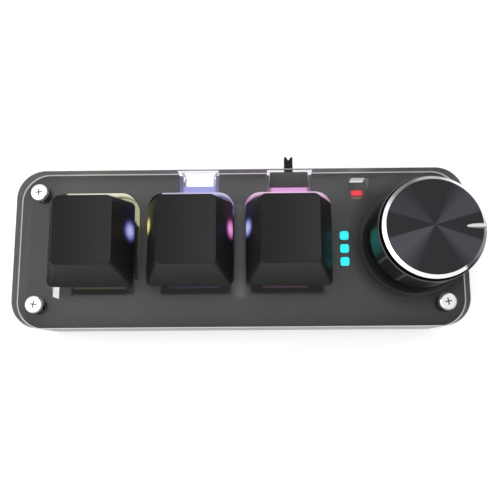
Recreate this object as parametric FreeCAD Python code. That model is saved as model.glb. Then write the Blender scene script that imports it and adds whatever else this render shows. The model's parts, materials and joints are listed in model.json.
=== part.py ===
import FreeCAD, Part
import math
import os

from FreeCAD import Vector

# Small desk keypad: three keys, one push knob, a USB socket and a power slide on the back.
# Millimetres. X runs along the row of keys, Y to the back, Z up from the table.

# Case outline
case_length = 96.0
case_depth = 34.0
case_corner_radius = 6.0
shell_wall = 1.8
shell_floor = 1.5
shell_bottom_bevel = 0.7

# Heights in the stack
pad_sheet_stand = 1.0
board_lift = 3.3
board_thickness = 1.2
deck_over_board = 5.0
deck_thickness = 1.5
glow_sheet_thickness = 1.0
cover_thickness = 3.5

# Clearances shared by many pieces
cut_overrun = 1.0
slide_clearance = 0.05
part_gap = 0.1
end_gap = 0.05
edge_tolerance = 0.001

# Silicone pad on the underside
pad_sheet_length = 84.0
pad_sheet_depth = 22.0
pad_sheet_round = 4.0
pad_sheet_recess = 0.4
pad_sheet_bevel = 0.3

# Cover screws and their bosses
screw_inset_x = 5.05
screw_inset_y = 5.0
screw_radius = 1.0
screw_length = 10.0
screw_head_radius = 1.85
screw_head_height = 1.1
screw_head_round = 0.45
screw_recess_span = 1.9
screw_recess_width = 0.42
screw_recess_depth = 0.6
boss_radius = 3.3
boss_bore_spare = 0.6
insert_radius = 1.6
insert_length = 4.0
sheet_hole_clearance = 0.1

# Circuit board
board_edge_gap = 0.3
board_tab_reach = 1.6
board_tab_inset = 0.3
rear_notch_drop = 0.2
board_post_radius = 2.3
board_screw_radius = 0.9
board_screw_head_radius = 1.6
board_screw_head_height = 1.0
board_screw_length = 4.0
post_switch_gap = 0.6
right_post_shift = 18.1
right_post_edge_gap = 1.2
left_rest_inset = 5.0
left_rest_y = -3.0

# Row of keys
key_count = 3
key_pitch = 20.75
middle_key_x = -10.45
key_y = 0.5
key_travel = 4.0

# Keycap
cap_base = 18.0
cap_base_round = 1.2
cap_top_width = 12.0
cap_top_depth = 14.0
cap_top_round = 1.3
cap_top_shift = 1.45
cap_height = 8.35
cap_floor_gap = 0.5
cap_skirt_band = 0.5
cap_edge_drop = 0.2
cap_edge_inset = 0.15
cap_wall = 1.1
cap_roof = 1.7
cap_dish_depth = 0.45
cap_post_radius = 2.75

# Key switch
switch_hole = 14.0
switch_flange = 15.2
switch_flange_height = 0.8
switch_housing_height = 6.6
switch_housing_base = 14.0
switch_housing_top_width = 10.2
switch_housing_top_depth = 9.6
switch_housing_round = 0.9
switch_housing_wall = 1.2
switch_floor = 1.4
switch_cavity = 11.6
switch_cavity_top_width = 8.8
switch_cavity_top_depth = 8.0
switch_post_radius = 1.95
switch_post_length = 3.3
switch_post_floor = 0.5
slider_width = 7.2
slider_depth = 5.7
slider_length = 5.0
slider_stop_width = 8.3
slider_stop_depth = 7.1
slider_stop_height = 1.0
slider_pole_radius = 1.15
slider_pole_length = 3.4
cross_span = 4.0
cross_bar_x = 1.3
cross_bar_y = 1.15
cross_height = 3.6
spring_wall = 0.45
pin_radius = 0.45
pin_length = 3.3
pin_hole_clearance = 0.15
pin_left_x = -3.81
pin_left_y = 2.54
pin_right_x = 2.54
pin_right_y = 5.08

# Lamps under the keys
key_led_width = 3.5
key_led_depth = 2.8
key_led_height = 1.5
key_led_gap = 0.6
led_window_web = 1.0
led_window_width = 8.9
led_window_depth = 3.6

# Wells in the clear cover
well_side_gap = 0.3
well_front_gap = 1.6
well_back_gap = 2.3
well_round = 3.4
cover_top_bevel = 0.1
cover_low_bevel = 0.15

# Rear socket
socket_shift = 1.35
socket_notch_width = 8.9
socket_width = 7.1
socket_height = 2.45
socket_mouth_width = 8.3
socket_mouth_height = 3.1
socket_flare = 0.9
socket_inner_end = 4.2
socket_overhang = 1.0
socket_metal = 0.3
socket_window_depth = 2.4
tongue_width = 4.6
tongue_thickness = 0.6
tongue_setback = 0.7

# Power slide
slide_shift = 0.55
slide_notch_width = 9.8
slide_body_width = 8.5
slide_body_depth = 3.5
slide_body_height = 3.5
slide_body_overhang = 0.7
slide_body_wall = 0.6
slide_travel = 1.0
lever_width = 1.9
lever_height = 1.5
lever_reach = 3.8
lever_notch_depth = 0.8
lever_notch_width = 1.1
carriage_width = 3.6

# Knob and its encoder
knob_inset = 10.3
knob_y = 1.3
knob_foot_gap = 0.1
knob_press = 0.5
knob_radius = 10.55
knob_foot_radius = 10.3
knob_foot_rise = 0.4
knob_groove_radius = 9.75
knob_groove_height = 0.75
knob_ring_radius = 10.05
knob_ring_band = 0.6
knob_ring_chamfer = 0.7
knob_ring_rise = 0.6
knob_core_radius = 7.6
knob_core_recess = 0.9
knob_roof = 1.7
pointer_length = 4.0
pointer_taper = 2.2
pointer_width = 1.15
pointer_depth = 0.35
shaft_radius = 3.0
shaft_length = 14.0
shaft_top_gap = 0.3
shaft_root = 1.2
shaft_flat_depth = 1.5
shaft_flat_length = 9.6
encoder_size = 12.0
encoder_round = 0.6
encoder_base_height = 4.2
encoder_frame_height = 1.3
encoder_pocket_radius = 3.3
encoder_rotor_radius = 5.0
encoder_rotor_height = 1.0
encoder_rotor_gap = 0.15
encoder_key_width = 1.0
encoder_key_depth = 0.6
encoder_key_length = 2.6
dome_radius = 2.4
dome_height = 0.3
bushing_radius = 3.5
bushing_length = 4.0
plunger_radius = 2.6
plunger_height = 0.6
encoder_opening_gap = 0.3
knob_hole_radius = 9.2
encoder_pin_pitch = 2.5
encoder_pin_row = 4.8

# Indicator lamps beside the knob
indicator_count = 3
indicator_shift = 12.3
indicator_pitch = 2.85
indicator_size = 1.9
indicator_round = 0.5
chip_lamp_width = 1.6
chip_lamp_depth = 0.8
chip_lamp_height = 0.6

# Pairing button in its window
button_knob_shift = 12.1
button_inset = 4.7
button_width = 2.5
button_depth = 1.2
button_round = 0.35
button_window_width = 4.1
button_window_depth = 4.8
button_proud = 0.1
button_travel = 0.25
button_stop_margin = 0.4
button_switch_width = 4.0
button_switch_depth = 3.0
button_switch_height = 2.0

# Battery and board parts
battery_length = 50.0
battery_end_room = 4.1
battery_wall_gap = 0.8
battery_post_gap = 1.35
battery_thickness = 2.6
battery_round = 1.2
pad_thickness = 0.3
pad_inset = 1.5
tab_width = 1.6
tab_thickness = 0.25
tab_reach = 2.0
tab_spacing = 5.0
chip_shift = 12.1
chip_edge_gap = 1.7
chip_size = 6.0
chip_height = 1.0
radio_edge_gap = 0.3
radio_boss_gap = 0.6
radio_width = 5.4
radio_depth = 9.0
radio_height = 1.7
passive_width = 1.6
passive_depth = 0.9
passive_height = 0.7
passive_count = 4
passive_pitch = 2.4
passive_shift = 15.7
passive_y = -5.2

# Levels worked out from the stack
shell_z = pad_sheet_stand
floor_z = shell_z + shell_floor
board_z = floor_z + board_lift
board_top_z = board_z + board_thickness
deck_top_z = board_top_z + deck_over_board
deck_z = deck_top_z - deck_thickness
glow_sheet_z = deck_z - glow_sheet_thickness
cover_top_z = deck_top_z + cover_thickness
back_y = case_depth / 2
screw_x = case_length / 2 - screw_inset_x
screw_y = case_depth / 2 - screw_inset_y
skirt_z = deck_top_z + key_travel + cap_floor_gap
knob_z = cover_top_z + screw_head_height + knob_press + knob_foot_gap

# Places worked out from the case's outline and the row of keys
first_key_x = middle_key_x - key_pitch
last_key_x = middle_key_x + key_pitch
board_inset = shell_wall + board_edge_gap
left_post_x = middle_key_x - key_pitch / 2
middle_post_x = middle_key_x + key_pitch / 2
rear_post_y = key_y + switch_hole / 2 + post_switch_gap + board_post_radius
right_post_x = last_key_x + right_post_shift
right_post_y = board_inset + right_post_edge_gap + board_post_radius - case_depth / 2
left_rest_x = left_rest_inset - case_length / 2
knob_x = case_length / 2 - knob_inset
indicator_x = last_key_x + indicator_shift
button_x = knob_x - button_knob_shift
button_y = case_depth / 2 - button_inset
socket_x = middle_key_x + socket_shift
slide_x = last_key_x + slide_shift
battery_front_y = shell_wall + battery_wall_gap - case_depth / 2
battery_width = key_y - switch_post_radius - battery_post_gap - battery_front_y
battery_x = right_post_x - board_post_radius - tab_reach - battery_end_room - battery_length / 2
battery_y = battery_front_y + battery_width / 2
chip_x = last_key_x + chip_shift
chip_y = board_inset + chip_edge_gap + chip_size / 2 - case_depth / 2
radio_x = board_inset + radio_edge_gap + radio_width / 2 - case_length / 2
radio_y = screw_y - boss_radius - radio_boss_gap - radio_depth / 2
passive_x = last_key_x + passive_shift


def block(size_x, size_y, size_z, x, y, z):
    """A box centred on x, y that stands on z."""
    return Part.makeBox(size_x, size_y, size_z, Vector(x - size_x / 2, y - size_y / 2, z))


def rod(radius, height, x, y, z):
    """An upright cylinder that stands on z."""
    return Part.makeCylinder(radius, height, Vector(x, y, z))


def rounded_wire(size_x, size_y, radius, x, y, z):
    """A closed rectangle with round corners, centred on x, y at height z."""
    left = x - size_x / 2
    right = x + size_x / 2
    front = y - size_y / 2
    back = y + size_y / 2
    lean = radius * (1 - math.sqrt(2) / 2)
    edges = [
        Part.makeLine(Vector(left + radius, front, z), Vector(right - radius, front, z)),
        Part.Arc(
            Vector(right - radius, front, z),
            Vector(right - lean, front + lean, z),
            Vector(right, front + radius, z),
        ).toShape(),
        Part.makeLine(Vector(right, front + radius, z), Vector(right, back - radius, z)),
        Part.Arc(
            Vector(right, back - radius, z),
            Vector(right - lean, back - lean, z),
            Vector(right - radius, back, z),
        ).toShape(),
        Part.makeLine(Vector(right - radius, back, z), Vector(left + radius, back, z)),
        Part.Arc(
            Vector(left + radius, back, z),
            Vector(left + lean, back - lean, z),
            Vector(left, back - radius, z),
        ).toShape(),
        Part.makeLine(Vector(left, back - radius, z), Vector(left, front + radius, z)),
        Part.Arc(
            Vector(left, front + radius, z),
            Vector(left + lean, front + lean, z),
            Vector(left + radius, front, z),
        ).toShape(),
    ]
    return Part.Wire(edges)


def rounded_block(size_x, size_y, radius, height, x, y, z):
    """An upright block with round corners."""
    face = Part.Face(rounded_wire(size_x, size_y, radius, x, y, z))
    return face.extrude(Vector(0, 0, height))


def stacked(wires):
    """A closed solid through level outlines, with straight sides between them."""
    return Part.makeLoft(wires, True, True)


def edges_at(shape, z):
    """The edges that lie level at height z."""
    found = []
    for edge in shape.Edges:
        bounds = edge.BoundBox
        if abs(bounds.ZMin - z) < edge_tolerance and abs(bounds.ZMax - z) < edge_tolerance:
            found.append(edge)
    return found


def screw_places():
    places = []
    for side_x in (-1, 1):
        for side_y in (-1, 1):
            places.append((side_x * screw_x, side_y * screw_y))
    return places


def post_places():
    return [(left_post_x, rear_post_y), (middle_post_x, rear_post_y), (right_post_x, right_post_y)]


def key_places():
    return [first_key_x + number * key_pitch for number in range(key_count)]


def pin_places(x):
    return [(x + pin_left_x, key_y + pin_left_y), (x + pin_right_x, key_y + pin_right_y)]


def indicator_places():
    middle = (indicator_count - 1) / 2
    return [(indicator_x, (number - middle) * indicator_pitch) for number in range(indicator_count)]


def encoder_pin_places():
    front = [(knob_x + step * encoder_pin_pitch, knob_y - encoder_pin_row) for step in (-1, 0, 1)]
    back = [(knob_x + step * encoder_pin_pitch, knob_y + encoder_pin_row) for step in (-1, 1)]
    return front + back


# Case


def rear_notch(width, x, z, height):
    """Space cut through the rear wall above a board tab."""
    depth = board_inset + cut_overrun
    return block(width, depth, height, x, back_y - board_inset + depth / 2, z)


def bottom_shell():
    height = glow_sheet_z - shell_z
    shell = rounded_block(case_length, case_depth, case_corner_radius, height, 0, 0, shell_z)
    shell = shell.makeChamfer(shell_bottom_bevel, edges_at(shell, shell_z))
    inside = rounded_block(
        case_length - 2 * shell_wall,
        case_depth - 2 * shell_wall,
        case_corner_radius - shell_wall,
        height,
        0,
        0,
        floor_z,
    )
    shell = shell.cut(inside)
    for x, y in screw_places():
        shell = shell.fuse(rod(boss_radius, glow_sheet_z - floor_z, x, y, floor_z))
    for x, y in post_places() + [(left_rest_x, left_rest_y)]:
        shell = shell.fuse(rod(board_post_radius, board_lift, x, y, floor_z))
    for x, y in screw_places():
        bore_z = cover_top_z - screw_length - boss_bore_spare
        shell = shell.cut(rod(screw_radius + slide_clearance, screw_length, x, y, bore_z))
        seat_z = glow_sheet_z - insert_length
        shell = shell.cut(rod(insert_radius + slide_clearance, screw_length, x, y, seat_z))
    for x, y in post_places():
        bore_z = board_top_z - board_screw_length
        shell = shell.cut(rod(board_screw_radius + slide_clearance, board_screw_length, x, y, bore_z))
    notch_z = board_z - rear_notch_drop
    notch_height = glow_sheet_z - notch_z + cut_overrun
    shell = shell.cut(rear_notch(socket_notch_width, socket_x, notch_z, notch_height))
    shell = shell.cut(rear_notch(slide_notch_width, slide_x, notch_z, notch_height))
    return shell.cut(pad_sheet(part_gap)).removeSplitter()


def pad_sheet(clearance):
    """The pad's sheet, grown by a clearance at its sides for the recess that it sits in."""
    return rounded_block(
        pad_sheet_length + 2 * clearance,
        pad_sheet_depth + 2 * clearance,
        pad_sheet_round,
        pad_sheet_stand + pad_sheet_recess,
        0,
        0,
        0,
    )


def base_pad():
    sheet = pad_sheet(0)
    return sheet.makeChamfer(pad_sheet_bevel, edges_at(sheet, 0))


def threaded_inserts():
    """Brass inserts in the tops of the bosses."""
    inserts = []
    for x, y in screw_places():
        seat_z = glow_sheet_z - insert_length
        insert = rod(insert_radius, insert_length, x, y, seat_z)
        inserts.append(insert.cut(rod(screw_radius + slide_clearance, insert_length, x, y, seat_z)))
    return Part.makeCompound(inserts)


def rear_slot(width, x, front_y):
    """Slot from a key lamp to the rear edge, above a rear socket or switch."""
    length = back_y + cut_overrun - front_y
    low = deck_z - cut_overrun
    return block(width, length, deck_thickness + 2 * cut_overrun, x, front_y + length / 2, low)


def switch_deck():
    deck = rounded_block(case_length, case_depth, case_corner_radius, deck_thickness, 0, 0, deck_z)
    low = deck_z - cut_overrun
    tall = deck_thickness + 2 * cut_overrun
    window_front = key_y + switch_hole / 2 + led_window_web
    for x in key_places():
        deck = deck.cut(block(switch_hole, switch_hole, tall, x, key_y, low))
    window_y = window_front + led_window_depth / 2
    deck = deck.cut(block(led_window_width, led_window_depth, tall, first_key_x, window_y, low))
    deck = deck.cut(rear_slot(socket_notch_width, socket_x, window_front))
    deck = deck.cut(rear_slot(slide_notch_width, slide_x, window_front))
    deck = with_shared_holes(deck, low, tall)
    return deck.cut(button_slot(low, tall)).removeSplitter()


def with_shared_holes(sheet, low, tall):
    """The sheet with the holes that the deck and the glow sheet both have."""
    opening = encoder_size + 2 * encoder_opening_gap
    sheet = sheet.cut(rounded_block(opening, opening, encoder_round, tall, knob_x, knob_y, low))
    hole = indicator_size + 2 * slide_clearance
    for x, y in indicator_places():
        sheet = sheet.cut(rounded_block(hole, hole, indicator_round, tall, x, y, low))
    for x, y in screw_places():
        sheet = sheet.cut(rod(screw_radius + sheet_hole_clearance, tall, x, y, low))
    return sheet


def rear_opening(width, x, inner_y, low, tall):
    """Space round a rear part in a sheet, from its inner end out past the rear edge."""
    front_y = inner_y - part_gap
    length = back_y + cut_overrun - front_y
    return block(width + 2 * part_gap, length, tall, x, front_y + length / 2, low)


def glow_sheet():
    """Milky sheet under the deck that spreads the key lamps' light."""
    sheet = rounded_block(
        case_length, case_depth, case_corner_radius, glow_sheet_thickness, 0, 0, glow_sheet_z
    )
    low = glow_sheet_z - cut_overrun
    tall = glow_sheet_thickness + 2 * cut_overrun
    hole = switch_hole + 2 * part_gap
    for x in key_places():
        sheet = sheet.cut(block(hole, hole, tall, x, key_y, low))
    sheet = with_shared_holes(sheet, low, tall)
    stop = 2 * (button_stop_margin + part_gap)
    sheet = sheet.cut(block(button_width + stop, button_depth + stop, tall, button_x, button_y, low))
    slide_end_y = slide_body_y() - slide_body_depth / 2
    sheet = sheet.cut(rear_opening(slide_body_width, slide_x, slide_end_y, low, tall))
    sheet = sheet.cut(rear_opening(socket_width, socket_x, back_y - socket_window_depth, low, tall))
    return sheet.removeSplitter()


def clear_cover():
    cover = rounded_block(case_length, case_depth, case_corner_radius, cover_thickness, 0, 0, deck_top_z)
    cover = cover.makeChamfer(cover_top_bevel, edges_at(cover, cover_top_z))
    cover = cover.makeChamfer(cover_low_bevel, edges_at(cover, deck_top_z))
    low = deck_top_z - cut_overrun
    tall = cover_thickness + 2 * cut_overrun
    well_width = cap_base + 2 * well_side_gap
    well_depth = cap_base + well_front_gap + well_back_gap
    well_y = key_y + (well_back_gap - well_front_gap) / 2
    for x in key_places():
        cover = cover.cut(rounded_block(well_width, well_depth, well_round, tall, x, well_y, low))
    cover = cover.cut(rod(knob_hole_radius, tall, knob_x, knob_y, low))
    cover = cover.cut(
        block(button_window_width, button_window_depth, tall, button_x, button_y, low)
    )
    for x, y in screw_places():
        cover = cover.cut(rod(screw_radius + sheet_hole_clearance, tall, x, y, low))
    return cover.removeSplitter()


def pan_screw(radius, length, head_radius, head_height, x, y, z):
    """A cross-recessed pan screw whose head stands on z."""
    head = rod(head_radius, head_height, x, y, z)
    head = head.makeFillet(screw_head_round, edges_at(head, z + head_height))
    recess_z = z + head_height - screw_recess_depth
    head = head.cut(block(screw_recess_span, screw_recess_width, head_height, x, y, recess_z))
    head = head.cut(block(screw_recess_width, screw_recess_span, head_height, x, y, recess_z))
    return head.fuse(rod(radius, length, x, y, z - length)).removeSplitter()


def cover_screws():
    screws = []
    for x, y in screw_places():
        screws.append(
            pan_screw(screw_radius, screw_length, screw_head_radius, screw_head_height, x, y, cover_top_z)
        )
    return Part.makeCompound(screws)


# Circuit board and what stands on it


def board_tab(width, x):
    """Tongue of the board that carries a rear part through the wall."""
    tab_width = width - 2 * board_tab_inset
    length = board_tab_reach + cut_overrun
    y = back_y - board_inset + board_tab_reach - length / 2
    return block(tab_width, length, board_thickness, x, y, board_z)


def main_board():
    board = rounded_block(
        case_length - 2 * board_inset,
        case_depth - 2 * board_inset,
        case_corner_radius - board_inset,
        board_thickness,
        0,
        0,
        board_z,
    )
    board = board.fuse(board_tab(socket_notch_width, socket_x))
    board = board.fuse(board_tab(slide_notch_width, slide_x))
    for x, y in screw_places():
        board = board.cut(rod(boss_radius + board_edge_gap, board_thickness, x, y, board_z))
    for x, y in post_places():
        board = board.cut(rod(board_screw_radius + sheet_hole_clearance, board_thickness, x, y, board_z))
    for key_x in key_places():
        board = board.cut(
            rod(switch_post_radius + pin_hole_clearance, board_thickness, key_x, key_y, board_z)
        )
        for x, y in pin_places(key_x):
            board = board.cut(rod(pin_radius + pin_hole_clearance, board_thickness, x, y, board_z))
    for x, y in encoder_pin_places():
        board = board.cut(rod(pin_radius + pin_hole_clearance, board_thickness, x, y, board_z))
    return board.removeSplitter()


def board_screws():
    screws = []
    for x, y in post_places():
        screws.append(
            pan_screw(
                board_screw_radius,
                board_screw_length - boss_bore_spare,
                board_screw_head_radius,
                board_screw_head_height,
                x,
                y,
                board_top_z,
            )
        )
    return Part.makeCompound(screws)


def battery_cell():
    return rounded_block(
        battery_length,
        battery_width,
        battery_round,
        battery_thickness,
        battery_x,
        battery_y,
        floor_z + pad_thickness,
    )


def battery_pad():
    return block(
        battery_length - 2 * pad_inset,
        battery_width - 2 * pad_inset,
        pad_thickness,
        battery_x,
        battery_y,
        floor_z,
    )


def battery_tabs():
    tabs = []
    end_x = battery_x + battery_length / 2
    foot_z = floor_z + pad_thickness + battery_thickness / 2
    for side in (-1, 1):
        y = battery_y + side * tab_spacing / 2
        flat = block(tab_reach, tab_width, tab_thickness, end_x + tab_reach / 2, y, foot_z)
        riser_x = end_x + tab_reach - tab_thickness / 2
        riser = block(tab_thickness, tab_width, board_z - foot_z, riser_x, y, foot_z)
        tabs.append(flat.fuse(riser).removeSplitter())
    return Part.makeCompound(tabs)


def controller_chip():
    return block(chip_size, chip_size, chip_height, chip_x, chip_y, board_top_z)


def radio_module():
    return block(radio_width, radio_depth, radio_height, radio_x, radio_y, board_top_z)


def board_passives():
    chips = []
    for number in range(passive_count):
        y = passive_y + (number % 2) * passive_pitch
        x = passive_x + (number // 2) * passive_pitch
        chips.append(block(passive_width, passive_depth, passive_height, x, y, board_top_z))
    return Part.makeCompound(chips)


def chip_lamp(x, y):
    return block(chip_lamp_width, chip_lamp_depth, chip_lamp_height, x, y, board_top_z)


def indicator_lamps():
    return Part.makeCompound([chip_lamp(x, y) for x, y in indicator_places()])


def indicator_guides():
    guides = []
    z = board_top_z + chip_lamp_height + end_gap
    for x, y in indicator_places():
        guides.append(
            rounded_block(indicator_size, indicator_size, indicator_round, deck_top_z - z, x, y, z)
        )
    return Part.makeCompound(guides)


# Keys


def switch_base(x):
    """Lower half of a key switch: tub, flange and the post that goes through the board."""
    side = switch_hole - 2 * slide_clearance
    tub = block(side, side, deck_over_board, x, key_y, board_top_z)
    tub = tub.fuse(block(switch_flange, switch_flange, switch_flange_height, x, key_y, deck_top_z))
    cavity_z = board_top_z + switch_floor
    cavity_height = deck_top_z + switch_flange_height - cavity_z + cut_overrun
    tub = tub.cut(block(switch_cavity, switch_cavity, cavity_height, x, key_y, cavity_z))
    tub = tub.fuse(rod(switch_post_radius, switch_post_length, x, key_y, board_top_z - switch_post_length))
    bore_z = board_top_z - switch_post_length + switch_post_floor
    bore_length = cavity_z - bore_z + cut_overrun
    tub = tub.cut(rod(slider_pole_radius + slide_clearance, bore_length, x, key_y, bore_z))
    return tub.removeSplitter()


def switch_top(x):
    """Upper half of a key switch, a hollow hood with the slider's opening in its roof."""
    z = deck_top_z + switch_flange_height
    top_z = deck_top_z + switch_housing_height
    hood = stacked(
        [
            rounded_wire(switch_housing_base, switch_housing_base, switch_housing_round, x, key_y, z),
            rounded_wire(
                switch_housing_top_width, switch_housing_top_depth, switch_housing_round, x, key_y, top_z
            ),
        ]
    )
    hollow = stacked(
        [
            rounded_wire(switch_cavity, switch_cavity, switch_housing_round, x, key_y, z),
            rounded_wire(
                switch_cavity_top_width,
                switch_cavity_top_depth,
                switch_housing_round,
                x,
                key_y,
                top_z - switch_housing_wall,
            ),
        ]
    )
    hood = hood.cut(hollow)
    opening = block(
        slider_width + 2 * slide_clearance,
        slider_depth + 2 * slide_clearance,
        switch_housing_height,
        x,
        key_y,
        z,
    )
    return hood.cut(opening).removeSplitter()


def cross(clearance, height, x, z):
    """The plus-shaped peg that a cap is pushed onto."""
    long_side = cross_span + 2 * clearance
    bar = block(long_side, cross_bar_y + 2 * clearance, height, x, key_y, z)
    return bar.fuse(block(cross_bar_x + 2 * clearance, long_side, height, x, key_y, z))


def switch_slider(x):
    top_z = deck_top_z + switch_housing_height
    low_z = top_z - slider_length
    slider = block(slider_width, slider_depth, slider_length, x, key_y, low_z)
    stop_z = top_z - switch_housing_wall - end_gap - slider_stop_height
    slider = slider.fuse(block(slider_stop_width, slider_stop_depth, slider_stop_height, x, key_y, stop_z))
    slider = slider.fuse(rod(slider_pole_radius, slider_pole_length, x, key_y, low_z - slider_pole_length))
    return slider.fuse(cross(0, cross_height, x, top_z)).removeSplitter()


def switch_spring(x):
    """Return spring round the slider's pole, as a plain sleeve of its size."""
    low_z = board_top_z + switch_floor
    high_z = deck_top_z + switch_housing_height - slider_length - end_gap
    inner = slider_pole_radius + part_gap + slide_clearance
    sleeve = rod(inner + spring_wall, high_z - low_z, x, key_y, low_z)
    return sleeve.cut(rod(inner, high_z - low_z, x, key_y, low_z))


def switch_pins():
    pins = []
    for key_x in key_places():
        for x, y in pin_places(key_x):
            pins.append(rod(pin_radius, pin_length, x, y, board_top_z - pin_length))
    return Part.makeCompound(pins)


def key_lamp(x):
    y = key_y + switch_hole / 2 + key_led_gap + key_led_depth / 2
    return block(key_led_width, key_led_depth, key_led_height, x, y, board_top_z)


def cap_outline(x, inset, height, z):
    """Level outline of the cap's outside at a height above its skirt, drawn in by inset."""
    share = max(height - cap_skirt_band, 0) / (cap_height - cap_skirt_band)
    width = cap_base + (cap_top_width - cap_base) * share - 2 * inset
    depth = cap_base + (cap_top_depth - cap_base) * share - 2 * inset
    radius = cap_base_round + (cap_top_round - cap_base_round) * share - inset / 2
    return rounded_wire(width, depth, radius, x, key_y + cap_top_shift * share, z)


def keycap(x):
    """Hollow cap with a cylindrical dish, a softened top edge and its socket post."""
    edge_z = skirt_z + cap_height - cap_edge_drop
    top_z = skirt_z + cap_height
    outside = stacked(
        [
            cap_outline(x, 0, 0, skirt_z),
            cap_outline(x, 0, cap_skirt_band, skirt_z + cap_skirt_band),
            cap_outline(x, 0, cap_height - cap_edge_drop, edge_z),
            cap_outline(x, cap_edge_inset, cap_height, top_z),
        ]
    )
    dish_radius = (cap_top_width**2 / 4 + cap_dish_depth**2) / (2 * cap_dish_depth)
    dish_y = key_y - cap_base
    dish = Part.makeCylinder(
        dish_radius,
        2 * cap_base,
        Vector(x, dish_y, top_z + dish_radius - cap_dish_depth),
        Vector(0, 1, 0),
    )
    outside = outside.cut(dish)
    roof_height = cap_height - cap_roof
    inside = stacked(
        [
            cap_outline(x, cap_wall, 0, skirt_z - cut_overrun),
            cap_outline(x, cap_wall, cap_skirt_band, skirt_z + cap_skirt_band),
            cap_outline(x, cap_wall, roof_height, skirt_z + roof_height),
        ]
    )
    cap = outside.cut(inside)
    post_z = deck_top_z + switch_housing_height
    post = rod(cap_post_radius, skirt_z + roof_height - post_z, x, key_y, post_z)
    cap = cap.fuse(post)
    return cap.cut(cross(slide_clearance, cross_height + end_gap, x, post_z)).removeSplitter()


# Rear socket and power slide


def flared_tube(width, height, mouth_width, mouth_height, x, z_middle, inner_y, neck_y, mouth_y):
    """A straight tube along Y that widens to its mouth."""
    straight = Part.makeBox(
        width, neck_y - inner_y, height, Vector(x - width / 2, inner_y, z_middle - height / 2)
    )
    rings = []
    for ring_width, ring_height, y in ((width, height, neck_y), (mouth_width, mouth_height, mouth_y)):
        low = z_middle - ring_height / 2
        high = z_middle + ring_height / 2
        corners = [
            Vector(x - ring_width / 2, y, low),
            Vector(x + ring_width / 2, y, low),
            Vector(x + ring_width / 2, y, high),
            Vector(x - ring_width / 2, y, high),
            Vector(x - ring_width / 2, y, low),
        ]
        rings.append(Part.makePolygon(corners))
    return straight.fuse(stacked(rings))


def socket_span():
    """Where the socket's inner end, its flare and its mouth lie along Y."""
    return back_y - socket_inner_end, back_y + socket_overhang - socket_flare, back_y + socket_overhang


def socket_shell():
    inner_y, neck_y, mouth_y = socket_span()
    middle_z = board_top_z + socket_height / 2
    outer = flared_tube(
        socket_width,
        socket_height,
        socket_mouth_width,
        socket_mouth_height,
        socket_x,
        middle_z,
        inner_y,
        neck_y,
        mouth_y,
    )
    hollow = flared_tube(
        socket_width - 2 * socket_metal,
        socket_height - 2 * socket_metal,
        socket_mouth_width - 2 * socket_metal,
        socket_mouth_height - 2 * socket_metal,
        socket_x,
        middle_z,
        inner_y + socket_metal,
        neck_y,
        mouth_y,
    )
    return outer.cut(hollow).removeSplitter()


def socket_tongue():
    inner_y, neck_y, mouth_y = socket_span()
    length = mouth_y - tongue_setback - inner_y - socket_metal
    middle_z = board_top_z + socket_height / 2
    tongue = block(
        tongue_width,
        length,
        tongue_thickness,
        socket_x,
        inner_y + socket_metal + length / 2,
        middle_z,
    )
    back_plate = block(
        socket_width - 2 * socket_metal,
        socket_metal,
        socket_height - 2 * socket_metal,
        socket_x,
        inner_y + socket_metal + socket_metal / 2,
        board_top_z + socket_metal,
    )
    return tongue.fuse(back_plate).removeSplitter()


def slide_body_y():
    return back_y + slide_body_overhang - slide_body_depth / 2


def slide_middle_z():
    return board_top_z + slide_body_height / 2


def slide_body():
    """Housing of the power slide with the slot that its lever runs in."""
    body = block(
        slide_body_width, slide_body_depth, slide_body_height, slide_x, slide_body_y(), board_top_z
    )
    room = carriage_width + 2 * slide_travel + 2 * part_gap
    hollow = block(
        room,
        slide_body_depth - 2 * slide_body_wall,
        slide_body_height - 2 * slide_body_wall,
        slide_x,
        slide_body_y(),
        board_top_z + slide_body_wall,
    )
    slot_width = lever_width + 2 * slide_travel + 2 * part_gap
    slot_height = lever_height + 2 * slide_clearance
    slot = block(
        slot_width,
        slide_body_depth,
        slot_height,
        slide_x,
        slide_body_y() + slide_body_depth / 2,
        slide_middle_z() - slot_height / 2,
    )
    return body.cut(hollow).cut(slot).removeSplitter()


def slide_lever():
    """Carriage inside the housing and the forked lever that sticks out at the back."""
    carriage_depth = slide_body_depth - 2 * slide_body_wall - 2 * slide_clearance
    carriage_height = slide_body_height - 2 * slide_body_wall - 2 * slide_clearance
    carriage = block(
        carriage_width,
        carriage_depth,
        carriage_height,
        slide_x,
        slide_body_y(),
        slide_middle_z() - carriage_height / 2,
    )
    tip_y = back_y + slide_body_overhang + lever_reach
    stalk_length = tip_y - slide_body_y()
    stalk = block(
        lever_width,
        stalk_length,
        lever_height,
        slide_x,
        tip_y - stalk_length / 2,
        slide_middle_z() - lever_height / 2,
    )
    low = slide_middle_z() - lever_height
    fork = Part.makePolygon(
        [
            Vector(slide_x - lever_notch_width / 2, tip_y, low),
            Vector(slide_x, tip_y - lever_notch_depth, low),
            Vector(slide_x + lever_notch_width / 2, tip_y, low),
            Vector(slide_x - lever_notch_width / 2, tip_y, low),
        ]
    )
    notch = Part.Face(fork).extrude(Vector(0, 0, 2 * lever_height))
    return carriage.fuse(stalk).cut(notch).removeSplitter()


# Pairing button


def button_slot(z, height):
    return rounded_block(
        button_width + 2 * slide_clearance,
        button_depth + 2 * slide_clearance,
        button_round,
        height,
        button_x,
        button_y,
        z,
    )


def pairing_button():
    low_z = board_top_z + button_switch_height + button_travel + end_gap
    top_z = deck_top_z + button_proud
    stalk = rounded_block(
        button_width, button_depth, button_round, top_z - low_z, button_x, button_y, low_z
    )
    stop = block(
        button_width + 2 * button_stop_margin,
        button_depth + 2 * button_stop_margin,
        deck_z - end_gap - low_z,
        button_x,
        button_y,
        low_z,
    )
    return stalk.fuse(stop).removeSplitter()


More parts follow.
